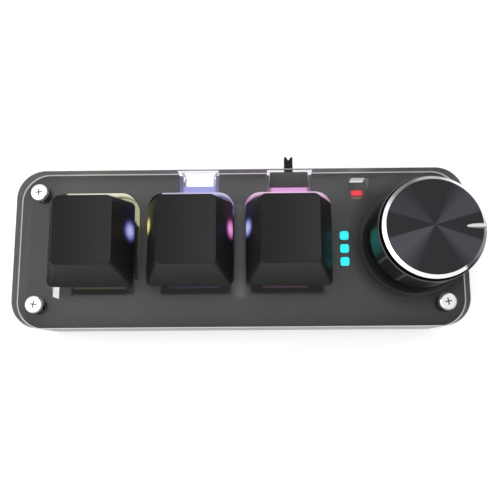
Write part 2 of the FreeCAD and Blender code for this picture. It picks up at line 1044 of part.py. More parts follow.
def pairing_switch():
    return block(
        button_switch_width, button_switch_depth, button_switch_height, button_x, button_y, board_top_z
    )


# Knob and encoder


def encoder_base():
    base = rounded_block(
        encoder_size, encoder_size, encoder_round, encoder_base_height, knob_x, knob_y, board_top_z
    )
    base = base.cut(rod(encoder_pocket_radius, encoder_base_height, knob_x, knob_y, dome_z()))
    ledge_z = rotor_z() - end_gap
    return base.cut(
        rod(encoder_rotor_radius + encoder_rotor_gap, encoder_base_height, knob_x, knob_y, ledge_z)
    )


def dome_z():
    """Floor of the pocket under the shaft, where the spring dome lies."""
    return shaft_low_z() - plunger_height - knob_press - end_gap - dome_height


def rotor_z():
    return board_top_z + encoder_base_height - end_gap - encoder_rotor_height


def encoder_dome():
    return rod(dome_radius, dome_height, knob_x, knob_y, dome_z())


def key_cutter(clearance, z, height):
    """The keyway along the shaft, or with no clearance the tooth that fills it."""
    width = encoder_key_width + 2 * clearance
    depth = encoder_key_depth + clearance
    return Part.makeBox(
        2 * depth,
        width,
        height,
        Vector(knob_x - shaft_radius - depth, knob_y - width / 2, z),
    )


def encoder_rotor():
    """Contact wheel that the shaft turns by its keyway and slides through."""
    rotor = rod(encoder_rotor_radius, encoder_rotor_height, knob_x, knob_y, rotor_z())
    bore = rod(shaft_radius + slide_clearance, encoder_rotor_height, knob_x, knob_y, rotor_z())
    tooth = key_cutter(0, rotor_z(), encoder_rotor_height)
    return rotor.cut(bore.cut(tooth)).removeSplitter()


def encoder_frame():
    z = board_top_z + encoder_base_height
    frame = rounded_block(
        encoder_size, encoder_size, encoder_round, encoder_frame_height, knob_x, knob_y, z
    )
    frame = frame.fuse(rod(bushing_radius, bushing_length, knob_x, knob_y, z + encoder_frame_height))
    bore = rod(
        shaft_radius + slide_clearance,
        encoder_frame_height + bushing_length + 2 * cut_overrun,
        knob_x,
        knob_y,
        z - cut_overrun,
    )
    return frame.cut(bore).removeSplitter()


def shaft_low_z():
    return board_top_z + encoder_base_height - shaft_root


def shaft_top_z():
    return board_top_z + encoder_base_height + encoder_frame_height + shaft_length


def hub_top_z():
    return shaft_top_z() + shaft_top_gap


def encoder_plunger():
    return rod(plunger_radius, plunger_height, knob_x, knob_y, shaft_low_z() - plunger_height)


def flat_cutter(clearance, z, height):
    """What is missing from the shaft beside its flat."""
    flat_x = knob_x + shaft_radius - shaft_flat_depth + clearance
    return Part.makeBox(
        2 * shaft_radius, 4 * shaft_radius, height, Vector(flat_x, knob_y - 2 * shaft_radius, z)
    )


def encoder_shaft():
    low = shaft_low_z()
    shaft = rod(shaft_radius, shaft_top_z() - low, knob_x, knob_y, low)
    shaft = shaft.cut(key_cutter(slide_clearance, low - cut_overrun, encoder_key_length + cut_overrun))
    return shaft.cut(flat_cutter(0, shaft_top_z() - shaft_flat_length, shaft_flat_length + cut_overrun))


def encoder_pins():
    pins = []
    for x, y in encoder_pin_places():
        pins.append(rod(pin_radius, pin_length, x, y, board_top_z - pin_length))
    return Part.makeCompound(pins)


def knob_hub():
    """Plastic core of the knob, with the bore that fits the shaft and its flat."""
    hub_z = knob_z + knob_core_recess
    length = hub_top_z() - hub_z
    hub = rod(knob_core_radius, length, knob_x, knob_y, hub_z)
    bore = rod(shaft_radius + slide_clearance, length, knob_x, knob_y, hub_z)
    bore = bore.cut(flat_cutter(slide_clearance, hub_z, length))
    return hub.cut(bore).removeSplitter()


def knob_shell():
    """Turned metal shell of the knob: body, dark groove and bright chamfered ring."""
    top_z = hub_top_z() + knob_roof
    chamfer_z = top_z - knob_ring_rise
    ring_z = chamfer_z - knob_ring_band
    groove_z = ring_z - knob_groove_height
    outline = [
        Vector(knob_core_radius, 0, knob_z),
        Vector(knob_foot_radius, 0, knob_z),
        Vector(knob_radius, 0, knob_z + knob_foot_rise),
        Vector(knob_radius, 0, groove_z),
        Vector(knob_groove_radius, 0, groove_z),
        Vector(knob_groove_radius, 0, ring_z),
        Vector(knob_ring_radius, 0, ring_z),
        Vector(knob_ring_radius, 0, chamfer_z),
        Vector(knob_ring_radius - knob_ring_chamfer, 0, top_z),
        Vector(0, 0, top_z),
        Vector(0, 0, hub_top_z()),
        Vector(knob_core_radius, 0, hub_top_z()),
        Vector(knob_core_radius, 0, knob_z),
    ]
    section = Part.Face(Part.makePolygon(outline))
    shell = section.revolve(Vector(0, 0, 0), Vector(0, 0, 1), 360)
    tip_x = knob_ring_radius - pointer_length
    low = top_z - pointer_depth
    pointer = Part.makePolygon(
        [
            Vector(tip_x, 0, low),
            Vector(tip_x + pointer_taper, -pointer_width / 2, low),
            Vector(knob_ring_radius + cut_overrun, -pointer_width / 2, low),
            Vector(knob_ring_radius + cut_overrun, pointer_width / 2, low),
            Vector(tip_x + pointer_taper, pointer_width / 2, low),
            Vector(tip_x, 0, low),
        ]
    )
    shell = shell.cut(Part.Face(pointer).extrude(Vector(0, 0, pointer_depth + cut_overrun)))
    shell.translate(Vector(knob_x, knob_y, 0))
    return shell


def all_parts():
    parts = {
        "bottom_shell": bottom_shell(),
        "base_pad": base_pad(),
        "threaded_inserts": threaded_inserts(),
        "switch_deck": switch_deck(),
        "glow_sheet": glow_sheet(),
        "clear_cover": clear_cover(),
        "cover_screws": cover_screws(),
        "main_board": main_board(),
        "board_screws": board_screws(),
        "battery_cell": battery_cell(),
        "battery_pad": battery_pad(),
        "battery_tabs": battery_tabs(),
        "controller_chip": controller_chip(),
        "radio_module": radio_module(),
        "board_passives": board_passives(),
        "indicator_lamps": indicator_lamps(),
        "indicator_guides": indicator_guides(),
        "switch_pins": switch_pins(),
        "socket_shell": socket_shell(),
        "socket_tongue": socket_tongue(),
        "slide_body": slide_body(),
        "slide_lever": slide_lever(),
        "pairing_button": pairing_button(),
        "pairing_switch": pairing_switch(),
        "encoder_base": encoder_base(),
        "encoder_frame": encoder_frame(),
        "encoder_rotor": encoder_rotor(),
        "encoder_dome": encoder_dome(),
        "encoder_plunger": encoder_plunger(),
        "encoder_shaft": encoder_shaft(),
        "encoder_pins": encoder_pins(),
        "knob_hub": knob_hub(),
        "knob_shell": knob_shell(),
    }
    for number, x in enumerate(key_places(), start=1):
        parts[f"switch_base_{number}"] = switch_base(x)
        parts[f"switch_top_{number}"] = switch_top(x)
        parts[f"switch_slider_{number}"] = switch_slider(x)
        parts[f"switch_spring_{number}"] = switch_spring(x)
        parts[f"key_lamp_{number}"] = key_lamp(x)
        parts[f"keycap_{number}"] = keycap(x)
    return parts


os.makedirs("parts", exist_ok=True)
for name, shape in all_parts().items():
    shape.exportStep(f"parts/{name}.step")
    print(name, len(shape.Solids), round(shape.Volume, 2), shape.isValid())
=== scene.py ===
import json
import math

import bmesh
import bpy
from mathutils import Matrix, Vector


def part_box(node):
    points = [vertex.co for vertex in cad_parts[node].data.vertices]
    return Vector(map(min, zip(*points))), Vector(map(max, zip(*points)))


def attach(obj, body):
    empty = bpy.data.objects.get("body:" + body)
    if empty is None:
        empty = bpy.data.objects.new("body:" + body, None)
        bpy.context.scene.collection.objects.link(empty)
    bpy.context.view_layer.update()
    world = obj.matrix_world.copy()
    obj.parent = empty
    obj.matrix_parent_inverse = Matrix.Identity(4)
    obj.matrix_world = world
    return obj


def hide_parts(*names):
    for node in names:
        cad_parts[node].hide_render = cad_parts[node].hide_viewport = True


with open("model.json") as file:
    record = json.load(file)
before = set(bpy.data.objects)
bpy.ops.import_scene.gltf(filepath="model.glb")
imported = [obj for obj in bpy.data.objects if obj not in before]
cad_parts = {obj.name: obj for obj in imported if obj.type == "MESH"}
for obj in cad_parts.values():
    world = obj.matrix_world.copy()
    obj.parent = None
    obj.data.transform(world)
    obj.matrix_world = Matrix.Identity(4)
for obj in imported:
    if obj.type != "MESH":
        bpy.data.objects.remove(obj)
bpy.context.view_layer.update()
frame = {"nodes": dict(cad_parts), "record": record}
print("frame loaded")

# Sizes and places are in millimetres, unless a note says metres; mm turns them into the frame's metres
mm = 0.001
scene = bpy.context.scene


def linear(level):
    # a screen grey of 0 to 255 as a scene value
    share = level / 255
    return share / 12.92 if share <= 0.04045 else ((share + 0.055) / 1.055) ** 2.4


def tone(red, green, blue):
    return (linear(red), linear(green), linear(blue), 1.0)


# Node helpers


def add(tree, kind, inputs=None, **settings):
    node = tree.nodes.new(kind)
    for key, value in settings.items():
        setattr(node, key, value)
    for key, value in (inputs or {}).items():
        if isinstance(value, bpy.types.NodeSocket):
            tree.links.new(value, node.inputs[key])
        else:
            node.inputs[key].default_value = value
    return node


def maths(tree, operation, first, second=0.0, clamp=False):
    made = add(tree, "ShaderNodeMath", {0: first, 1: second}, operation=operation, use_clamp=clamp)
    return made.outputs[0]


def spanOf(tree, value, low, high, toLow=0.0, toHigh=1.0):
    inputs = {"Value": value, "From Min": low, "From Max": high, "To Min": toLow, "To Max": toHigh}
    return add(tree, "ShaderNodeMapRange", inputs, interpolation_type="SMOOTHSTEP").outputs["Result"]


def blendOf(tree, share, first, second):
    made = add(tree, "ShaderNodeMix", data_type="RGBA")
    for key, value in ((0, share), (6, first), (7, second)):
        if isinstance(value, bpy.types.NodeSocket):
            tree.links.new(value, made.inputs[key])
        else:
            made.inputs[key].default_value = value
    return made.outputs[2]


def rampOf(tree, value, stops):
    made = add(tree, "ShaderNodeValToRGB", {"Fac": value})
    band = made.color_ramp.elements
    while len(band) < len(stops):
        band.new(0.5)
    for element, (place, colour) in zip(band, stops):
        element.position = place
        element.color = colour
    return made.outputs["Color"]


def groupOf(name, inputs, outputs):
    made = bpy.data.node_groups.new(name, "ShaderNodeTree")
    for key, (kind, value) in inputs.items():
        socket = made.interface.new_socket(key, in_out="INPUT", socket_type="NodeSocket" + kind)
        socket.default_value = value
    for key, kind in outputs.items():
        made.interface.new_socket(key, in_out="OUTPUT", socket_type="NodeSocket" + kind)
    return made, made.nodes.new("NodeGroupInput").outputs, made.nodes.new("NodeGroupOutput")


# Shared effects


def makeFinish():
    inputs = {
        "Colour": ("Color", (0.5, 0.5, 0.5, 1)),
        "Variation": ("Float", 0.1),
        "Roughness": ("Float", 0.5),
        "Wear": ("Float", 0.1),
        "Grain": ("Float", 3000.0),
        "Stretch": ("Vector", (1, 1, 1)),
    }
    tree, given, out = groupOf("surfaceFinish", inputs,
                               {"Colour": "Color", "Roughness": "Float", "Height": "Float"})
    place = add(tree, "ShaderNodeTexCoord").outputs["Object"]
    stretched = add(tree, "ShaderNodeVectorMath", {0: place, 1: given["Stretch"]},
                    operation="MULTIPLY").outputs[0]
    fine = add(tree, "ShaderNodeTexNoise", {"Vector": stretched, "Scale": given["Grain"], "Detail": 2.0})
    broad = add(tree, "ShaderNodeTexNoise", {"Vector": place, "Scale": 140.0, "Detail": 3.0})
    swing = maths(tree, "SUBTRACT", broad.outputs["Fac"], 0.5)
    darker = maths(tree, "MULTIPLY", swing, given["Variation"])
    factor = maths(tree, "ADD", darker, 1.0)
    scaled = add(tree, "ShaderNodeVectorMath", {0: given["Colour"], "Scale": factor},
                 operation="SCALE").outputs[0]
    tree.links.new(scaled, out.inputs["Colour"])
    speck = maths(tree, "SUBTRACT", fine.outputs["Fac"], 0.5)
    worn = maths(tree, "MULTIPLY", maths(tree, "ADD", speck, swing), given["Wear"])
    tree.links.new(maths(tree, "ADD", given["Roughness"], worn, clamp=True), out.inputs["Roughness"])
    tree.links.new(fine.outputs["Fac"], out.inputs["Height"])
    return tree


def makeSpot():
    # soft round patch: 1 at its centre, 0 past its reach
    inputs = {"Centre": ("Vector", (0, 0, 0)), "Reach": ("Vector", (1, 1, 1))}
    tree, given, out = groupOf("softSpot", inputs, {"Mask": "Float"})
    place = add(tree, "ShaderNodeTexCoord").outputs["Object"]
    away = add(tree, "ShaderNodeVectorMath", {0: place, 1: given["Centre"]}, operation="SUBTRACT").outputs[0]
    scaled = add(tree, "ShaderNodeVectorMath", {0: away, 1: given["Reach"]}, operation="DIVIDE").outputs[0]
    far = add(tree, "ShaderNodeVectorMath", {0: scaled}, operation="LENGTH").outputs["Value"]
    tree.links.new(spanOf(tree, far, 1.0, 0.0), out.inputs["Mask"])
    return tree


def makeBox():
    # level box seen from above: 1 inside, fading to 0 over its edge
    inputs = {"Centre": ("Vector", (0, 0, 0)), "Half": ("Vector", (1, 1, 1)), "Edge": ("Float", 0.0002)}
    tree, given, out = groupOf("softBox", inputs, {"Mask": "Float"})
    place = add(tree, "ShaderNodeTexCoord").outputs["Object"]
    away = add(tree, "ShaderNodeVectorMath", {0: place, 1: given["Centre"]}, operation="SUBTRACT").outputs[0]
    size = add(tree, "ShaderNodeVectorMath", {0: away}, operation="ABSOLUTE").outputs[0]
    left = add(tree, "ShaderNodeVectorMath", {0: given["Half"], 1: size}, operation="SUBTRACT").outputs[0]
    sides = add(tree, "ShaderNodeSeparateXYZ", {0: left}).outputs
    masks = [spanOf(tree, sides[key], 0.0, given["Edge"]) for key in ("X", "Y", "Z")]
    tree.links.new(maths(tree, "MULTIPLY", maths(tree, "MULTIPLY", masks[0], masks[1]), masks[2]),
                   out.inputs["Mask"])
    return tree


finishGroup = makeFinish()
spotGroup = makeSpot()
boxGroup = makeBox()


def spot(tree, centre, reach):
    values = {"Centre": [v * mm for v in centre], "Reach": [v * mm for v in reach]}
    return add(tree, "ShaderNodeGroup", values, node_tree=spotGroup).outputs["Mask"]


def box(tree, low, high, edge=0.2):
    # mask between two corners
    values = {"Centre": [(a + b) / 2 * mm for a, b in zip(low, high)],
              "Half": [(b - a) / 2 * mm for a, b in zip(low, high)], "Edge": edge * mm}
    return add(tree, "ShaderNodeGroup", values, node_tree=boxGroup).outputs["Mask"]


def angleOf(tree, centre):
    # turn round an upright axis as a share, 0 and 1 at the left, 0.5 at the right
    axes = axesOf(tree)
    across = maths(tree, "SUBTRACT", axes["X"], centre[0] * mm)
    along = maths(tree, "SUBTRACT", axes["Y"], centre[1] * mm)
    turn = maths(tree, "DIVIDE", maths(tree, "ARCTAN2", along, across), 2 * math.pi)
    return maths(tree, "ADD", turn, 0.5)


def wedges(tree, centre, tones):
    # colours by angle in degrees, -180 to 180
    stops = [((degrees + 180) / 360, tone(*value)) for degrees, value in tones]
    return rampOf(tree, angleOf(tree, centre), stops)


def axesOf(tree):
    place = add(tree, "ShaderNodeTexCoord").outputs["Object"]
    return add(tree, "ShaderNodeSeparateXYZ", {0: place}).outputs


def facingOf(tree):
    normal = add(tree, "ShaderNodeNewGeometry").outputs["Normal"]
    return add(tree, "ShaderNodeSeparateXYZ", {0: normal}).outputs


def placeSpan(tree, axis, low, high, toLow=0.0, toHigh=1.0):
    # smooth change along an axis between two places
    return spanOf(tree, axesOf(tree)[axis], low * mm, high * mm, toLow, toHigh)


def strongest(tree, masks):
    total = masks[0]
    for mask in masks[1:]:
        total = maths(tree, "MAXIMUM", total, mask)
    return total


def material(name, colour, roughness, variation=0.12, wear=0.12, grain=3000.0, bump=0.1, depth=0.00002,
             stretch=(1, 1, 1), **settings):
    made = bpy.data.materials.new(name)
    made.use_nodes = True
    tree = made.node_tree
    skin = tree.nodes["Principled BSDF"]
    finish = tree.nodes.new("ShaderNodeGroup")
    finish.node_tree = finishGroup
    values = {"Variation": variation, "Roughness": roughness, "Wear": wear, "Grain": grain,
              "Stretch": stretch}
    for key, value in values.items():
        finish.inputs[key].default_value = value
    if callable(colour):
        tree.links.new(colour(tree), finish.inputs["Colour"])
    else:
        finish.inputs["Colour"].default_value = colour
    tree.links.new(finish.outputs["Colour"], skin.inputs["Base Color"])
    tree.links.new(finish.outputs["Roughness"], skin.inputs["Roughness"])
    relief = add(tree, "ShaderNodeBump", {"Height": finish.outputs["Height"], "Strength": bump,
                                          "Distance": depth})
    tree.links.new(relief.outputs["Normal"], skin.inputs["Normal"])
    for key, value in settings.items():
        socket = skin.inputs[key.replace("_", " ")]
        if callable(value):
            tree.links.new(value(tree), socket)
        else:
            socket.default_value = value
    return made


# Materials

# Light of the lamps in the milky sheet: colours along the row, then how it fades
notchSpans = ((-13.55, -4.65), (5.95, 15.75))
glowTones = {"yellow": tone(240, 240, 190), "lavender": tone(165, 165, 232), "pink": tone(232, 160, 222)}
glow = {
    "row": (-31.5, 10.5),
    "stops": ((0.2, "yellow"), (0.32, "lavender"), (0.82, "lavender"), (0.86, "pink")),
    "back": (8.5, 17.2, 1.0, 0.5),
    "lit": (4.0, 8.0),
    "inset": 0.35,
    "insetEdge": 0.9,
    "sideShare": (0.0, 1.0, 0.32, 0.1),
    "sideFade": (11.8, 15.0),
    "sideNear": (0.5, 0.5, 0.5, 1),
    "unlitFade": (9.5, 11.5),
    "unlitNear": (0.18, 0.18, 0.18, 1),
    "unlitFar": (0.045, 0.045, 0.046, 1),
}


def glowColour(tree):
    stops = [(share, glowTones[name]) for share, name in glow["stops"]]
    return rampOf(tree, placeSpan(tree, "X", *glow["row"]), stops)


def glowFade(tree):
    # brighter towards the lamps and away from the notches' sides
    inset, edge = glow["inset"], glow["insetEdge"]
    inner = [box(tree, (low + inset, 6, 5), (high - inset, 19, 15), edge) for low, high in notchSpans]
    sideShare = placeSpan(tree, "X", *glow["sideShare"])
    side = blendOf(tree, placeSpan(tree, "Y", *glow["sideFade"]), glow["sideNear"], sideShare)
    share = maths(tree, "MULTIPLY", placeSpan(tree, "Y", *glow["back"]), strongest(tree, [*inner, side]))
    unlit = blendOf(tree, placeSpan(tree, "Y", *glow["unlitFade"]), glow["unlitNear"], glow["unlitFar"])
    lit = maths(tree, "MULTIPLY", share, placeSpan(tree, "Y", *glow["lit"]))
    return blendOf(tree, lit, unlit, glowColour(tree))


# Tones of the knob; its centre is also the centre of its shape
knobCentre = (37.7, 1.3)
wedgeCentre = (37.78, 1.6)
knobGlow = {"rise": (17.4, 18.2), "fall": (26.2, 25.4), "grain": 620.0, "blotch": (0.36, 0.6, 0.25, 1.0)}


def discReflectionTone(tree):
    # painted reflection: radial light and dark wedges of a spun face
    dark, upper, lower = (44, 44, 47), (67, 67, 73), (74, 74, 80)
    tones = [(-180, dark), (-165, dark), (-163, lower), (-140, lower), (-112, dark), (-60, dark),
             (-42, upper), (-21, upper), (-18, dark), (15, dark), (17.5, upper), (42, upper), (68, dark),
             (118, dark), (138, (56, 56, 61)), (161, (60, 60, 65)), (165, dark), (180, dark)]
    return wedges(tree, wedgeCentre, tones)


def ringTone(tree):
    # the bright ring, greyer where it turns from the light
    white, grey, pale = (255, 255, 255), (128, 128, 129), (222, 222, 223)
    tones = [(-180, white), (-56, white), (-52, grey), (-8, grey), (10, pale), (52, (250, 250, 250)),
             (66, pale), (82, (168, 168, 169)), (112, (160, 160, 161)), (140, (200, 200, 201)), (155, white),
             (180, white)]
    return wedges(tree, knobCentre, tones)


def ringGlow(tree):
    # the lamp's white mirrored from the left round to the front
    white, none = (255, 255, 255), (0, 0, 0)
    tones = [(-180, white), (-56, white), (-54, none), (118, (60, 60, 60)), (140, (120, 120, 120)),
             (156, white), (180, white)]
    return wedges(tree, knobCentre, tones)


def bodyShading(tree):
    # painted shade round the turned side, darker to the right and back, with a painted highlight at the front
    # and thin light seams
    low, plain, pale = (20, 20, 21), (32, 32, 33), (98, 98, 98)
    tones = [(-180, low), (-151, low), (-149, pale), (-147, plain), (-123.5, (27, 27, 27)), (-121.5, pale),
             (-119.5, plain), (-92, (28, 28, 28)), (-84, (84, 84, 84)), (-70, plain), (0, low), (180, low)]
    return wedges(tree, knobCentre, tones)


def bodyGlow(tree):
    # the windows' cyan mirrored in the side, in a band between the foot and the groove
    none, cyan = (0, 0, 0), (26, 92, 84)
    tones = [(-180, cyan), (-173, (28, 98, 90)), (-160, (20, 78, 72)), (-153, none), (173, none), (178, cyan)]
    k = knobGlow
    band = maths(tree, "MULTIPLY", placeSpan(tree, "Z", *k["rise"]), placeSpan(tree, "Z", *k["fall"]))
    blotch = add(tree, "ShaderNodeTexNoise", {"Scale": k["grain"], "Detail": 2.0}).outputs["Fac"]
    share = maths(tree, "MULTIPLY", band, spanOf(tree, blotch, *k["blotch"]))
    return blendOf(tree, share, (0, 0, 0, 1), wedges(tree, knobCentre, tones))


def pointerShading(tree):
    # painted shade: darker on the groove's front half
    half = placeSpan(tree, "Y", knobCentre[1] - 0.18, knobCentre[1] - 0.05)
    return blendOf(tree, half, tone(120, 120, 121), tone(214, 214, 215))


# The deck, with painted light and shade: greyer to the left and lighter to the back and near its edges, with
# painted shadows in front of the caps and painted reflections of the screws beside them
deck = {
    "row": (-50.0, 50.0),
    "edgeTones": (tone(100, 99, 98), tone(84, 83, 82)),
    "midTones": (tone(122, 122, 123), tone(104, 104, 105)),
    "midHalf": (47.8, 19.2),
    "midEdge": 3.0,
    "rear": (6.0, 16.0, 0.0, 0.45),
    "rearTone": tone(124, 124, 124),
    # painted shadows of the caps on the deck: places, depth and tone
    "shadowBands": ((-36.7, -22.6), (-17.4, -1.8), (1.9, 18.1)),
    "shadowDepth": (-10.3, -7.0),
    "shadowTone": tone(58, 58, 57),
    # painted reflections of the screws' dark sides: places, reach, share and tone
    "screws": (43.1, 12.15),
    "screwReach": 2.3,
    "screwMirrorShare": (0.0, 0.3, 0.0, 0.7),
    "screwTone": (0.002, 0.002, 0.002, 1),
    "mirrorReach": 20.0,
}
# lighter where the caps would shade the deck too much: corners, edge and grey
deckPatches = (((-2.1, -11.5), (1.95, 11.2), 2.0, 122), ((23.4, 9.8), (27.8, 14.9), 0.6, 96),
               ((24, 11.0), (42, 19.0), 3.0, 108))
# the knob's painted shadow and painted mirror image in the plate: share of light by radius
mirrorShares = ((10.0, 0.2), (10.9, 0.26), (11.2, 0.38), (11.36, 0.7), (11.55, 0.66), (11.8, 0.42),
                (13.2, 0.66), (15.2, 1.0))


def mirrorShade(tree):
    axes = axesOf(tree)
    offset = [maths(tree, "SUBTRACT", axes[key], middle * mm) for key, middle in zip("XY", knobCentre)]
    squares = [maths(tree, "MULTIPLY", value, value) for value in offset]
    away = maths(tree, "SQRT", maths(tree, "ADD", *squares))
    reach = deck["mirrorReach"]
    stops = [(radius / reach, (share, share, share, 1)) for radius, share in mirrorShares]
    return rampOf(tree, maths(tree, "DIVIDE", away, reach * mm), stops)


def deckTone(tree):
    # painted light: lighter to the left, near the edges and to the back
    along = placeSpan(tree, "X", *deck["row"])
    x, y = deck["midHalf"]
    mid = box(tree, (-x, -y, 5), (x, y, 20), deck["midEdge"])
    shade = blendOf(tree, mid, blendOf(tree, along, *deck["midTones"]),
                    blendOf(tree, along, *deck["edgeTones"]))
    shade = blendOf(tree, placeSpan(tree, "Y", *deck["rear"]), shade, deck["rearTone"])
    front, back = deck["shadowDepth"]
    # painted shadow of each cap on the deck in front of it
    for low, high in deck["shadowBands"]:
        band = box(tree, (low - 0.3, front, 11), (high + 0.3, back, 14), 1.0)
        shade = blendOf(tree, band, shade, deck["shadowTone"])
    for low, high, edge, grey in deckPatches:
        shade = blendOf(tree, box(tree, (*low, 8), (*high, 16), edge), shade, tone(grey, grey, grey))
    # painted reflection of each screw's dark side, darkening the deck beside it
    x, y = deck["screws"]
    reach = deck["screwReach"]
    for sideX, sideY in ((-1, -1), (-1, 1), (1, -1), (1, 1)):
        mask = spot(tree, (sideX * x, sideY * y, 12), (reach, reach, 5))
        shade = blendOf(tree, spanOf(tree, mask, *deck["screwMirrorShare"]), shade, deck["screwTone"])
    # the knob's painted shadow and painted mirror image darken the deck round it
    return blendOf(tree, mirrorShade(tree), (0, 0, 0, 1), shade)


# Light that leaks out on the deck: under each cap's front, in the wells' rear corners, before the button
# and in the slit beside the first key
leaks = {
    "lines": ((-36.0, -24.5), (-15.5, -4.5), (4.5, 14.5)),
    "lineDepth": (-8.6, -7.9),
    "lineEdge": 0.3,
    "lineGrain": (0.46, 0.6, 0.0, 0.16),
    "corners": (-25.45, -4.7, 4.55, 16.05),
    "cornerY": 8.4,
    "cornerReach": 3.5,
    "cornerShare": (0.0, 0.03, 0.0, 0.4),
    "buttonLow": (24.35, 11.0, 11),
    "buttonHigh": (26.65, 11.35, 13),
    "buttonTone": tone(150, 92, 70),
    "slitLow": (-40.45, -11.0, 11),
    "slitHigh": (-39.0, -7.0, 13),
    "slitSlope": 0.36,
    "slitEnd": (-24.64, -24.5),
    "slitTone": tone(224, 224, 224),
    "edge": 0.12,
}


def deckGlow(tree):
    front, back = leaks["lineDepth"]
    lines = [box(tree, (low, front, 11), (high, back, 13), leaks["lineEdge"]) for low, high in leaks["lines"]]
    speck = add(tree, "ShaderNodeTexNoise", {"Scale": 1900.0, "Detail": 1.0}).outputs["Fac"]
    leak = maths(tree, "MULTIPLY", strongest(tree, lines), spanOf(tree, speck, *leaks["lineGrain"]))
    total = blendOf(tree, leak, (0, 0, 0, 1), glowColour(tree))
    reach = leaks["cornerReach"]
    for x in leaks["corners"]:
        corner = spot(tree, (x, leaks["cornerY"], 12), (reach, reach, 5))
        total = blendOf(tree, spanOf(tree, corner, *leaks["cornerShare"]), total, glowColour(tree))
    button = box(tree, leaks["buttonLow"], leaks["buttonHigh"], leaks["edge"])
    total = blendOf(tree, button, total, leaks["buttonTone"])
    axes = axesOf(tree)
    slant = maths(tree, "ADD", axes["Y"], maths(tree, "MULTIPLY", axes["X"], leaks["slitSlope"]))
    low, high = leaks["slitEnd"]
    slit = box(tree, leaks["slitLow"], leaks["slitHigh"], leaks["edge"])
    slit = maths(tree, "MULTIPLY", slit, spanOf(tree, slant, low * mm, high * mm))
    return blendOf(tree, slit, total, leaks["slitTone"])


def screwTone(tree):
    # painted shade: a little darker to the right
    return blendOf(tree, placeSpan(tree, "X", -43, 43), tone(248, 248, 249), tone(224, 224, 225))


plastics = {"Specular_IOR_Level": 0.3}
mats = {
    "shell_plastic": material("shellPlastic", tone(150, 150, 151), 0.45, variation=0.05, bump=0.15),
    "pad_silicone": material("padSilicone", tone(58, 58, 60), 0.8, bump=0.25, grain=5000.0, **plastics),
    "deck_plastic": material("deckPlastic", deckTone, 0.6, variation=0.02, wear=0.04, grain=9000.0,
                             bump=0.002, Specular_IOR_Level=0.02, Emission_Color=deckGlow,
                             Emission_Strength=1.0),
    "milky_acrylic": material("milkyAcrylic", glowFade, 0.4, variation=0.04, Emission_Color=glowFade,
                              Emission_Strength=0.75),
    # screw heads: a faint white glow as a painted highlight
    "bright_screw": material("brightScrew", screwTone, 0.25, wear=0.2, Metallic=1.0, variation=0.04,
                             Emission_Color=(1, 1, 1, 1), Emission_Strength=0.04),
    # painted shade: the screws' cross recess and shank darker than the head
    "recessShade": material("recessShade", tone(128, 128, 129), 0.5, Metallic=1.0, variation=0.1),
    "shankShade": material("shankShade", tone(30, 30, 31), 0.5, Metallic=1.0),
    "steel": material("plainSteel", tone(200, 200, 202), 0.3, stretch=(1, 8, 8), Metallic=1.0, wear=0.3),
    "brass": material("plainBrass", tone(214, 180, 108), 0.3, Metallic=1.0, wear=0.2),
    "board": material("boardMask", tone(38, 44, 46), 0.35, grain=900.0, bump=0.15),
    "battery_wrap": material("batteryFoil", tone(190, 194, 198), 0.35, Metallic=1.0, grain=700.0, bump=0.3),
    "foam_tape": material("foamTape", tone(225, 225, 220), 0.9, grain=2500.0, bump=0.5),
    "chip_epoxy": material("chipEpoxy", tone(52, 52, 55), 0.6, grain=5000.0),
    "lamp_resin": material("lampResin", tone(240, 240, 225), 0.3, Emission_Color=glowColour,
                           Emission_Strength=1.0),
    "window_cyan": material("windowCyan", tone(34, 225, 228), 0.3, Emission_Color=tone(0, 232, 236),
                            Emission_Strength=0.72),
    "switch_black": material("switchBlack", tone(44, 44, 46), 0.5, **plastics),
    "switch_clear": material("switchClear", tone(205, 208, 212), 0.25, Transmission_Weight=0.6, IOR=1.2),
    "stem_plastic": material("stemPlastic", tone(150, 104, 74), 0.4),
    # the socket shell glows white, a painted reflection
    "socket_steel": material("socketSteel", tone(248, 248, 249), 0.25, stretch=(8, 1, 8), Metallic=1.0,
                             variation=0.02, Emission_Color=(1, 1, 1, 1), Emission_Strength=0.3),
    "slideSteel": material("slideSteel", tone(82, 82, 83), 0.4, stretch=(8, 1, 8), variation=0.05,
                           Specular_IOR_Level=0.05),
    "lever_plastic": material("leverPlastic", tone(30, 30, 31), 0.5, Specular_IOR_Level=0.1),
    "button_red": material("buttonRed", tone(235, 50, 62), 0.3, Emission_Color=tone(255, 60, 70),
                           Emission_Strength=0.35),
    "encoder_black": material("encoderBlack", tone(48, 48, 50), 0.5, **plastics),
}
knobMats = [
    material("knobBody", bodyShading, 0.35, variation=0.05, Specular_IOR_Level=0.12, Emission_Color=bodyGlow,
             Emission_Strength=0.8),
    material("knobGroove", tone(8, 8, 9), 0.6, Specular_IOR_Level=0.03),
    material("knobRing", ringTone, 0.14, Metallic=1.0, wear=0.05, variation=0.02, Emission_Color=ringGlow,
             Emission_Strength=0.6),
    material("knobDisc", discReflectionTone, 0.5, variation=0.03, grain=1800.0, bump=0.05, Specular_IOR_Level=0.05),
    material("pointerMetal", pointerShading, 0.3, Metallic=1.0, stretch=(1, 9, 9)),
    # the body's top shoulder lighter, a painted highlight
    material("knobEdgeHighlight", tone(96, 96, 97), 0.4, variation=0.03, Specular_IOR_Level=0.2),
]

# Clear cover: reflection from the coat, no bending of what lies below
plate = {"Transmission_Weight": 1.0, "IOR": 1.001, "Coat_Weight": 0.6, "Coat_IOR": 1.25,
         "Coat_Roughness": 0.02}


def edgeTone(tree):
    # painted shade: a little darker from inside the sheet than from outside
    inside = add(tree, "ShaderNodeNewGeometry").outputs["Backfacing"]
    return blendOf(tree, inside, tone(192, 192, 193), tone(176, 176, 177))


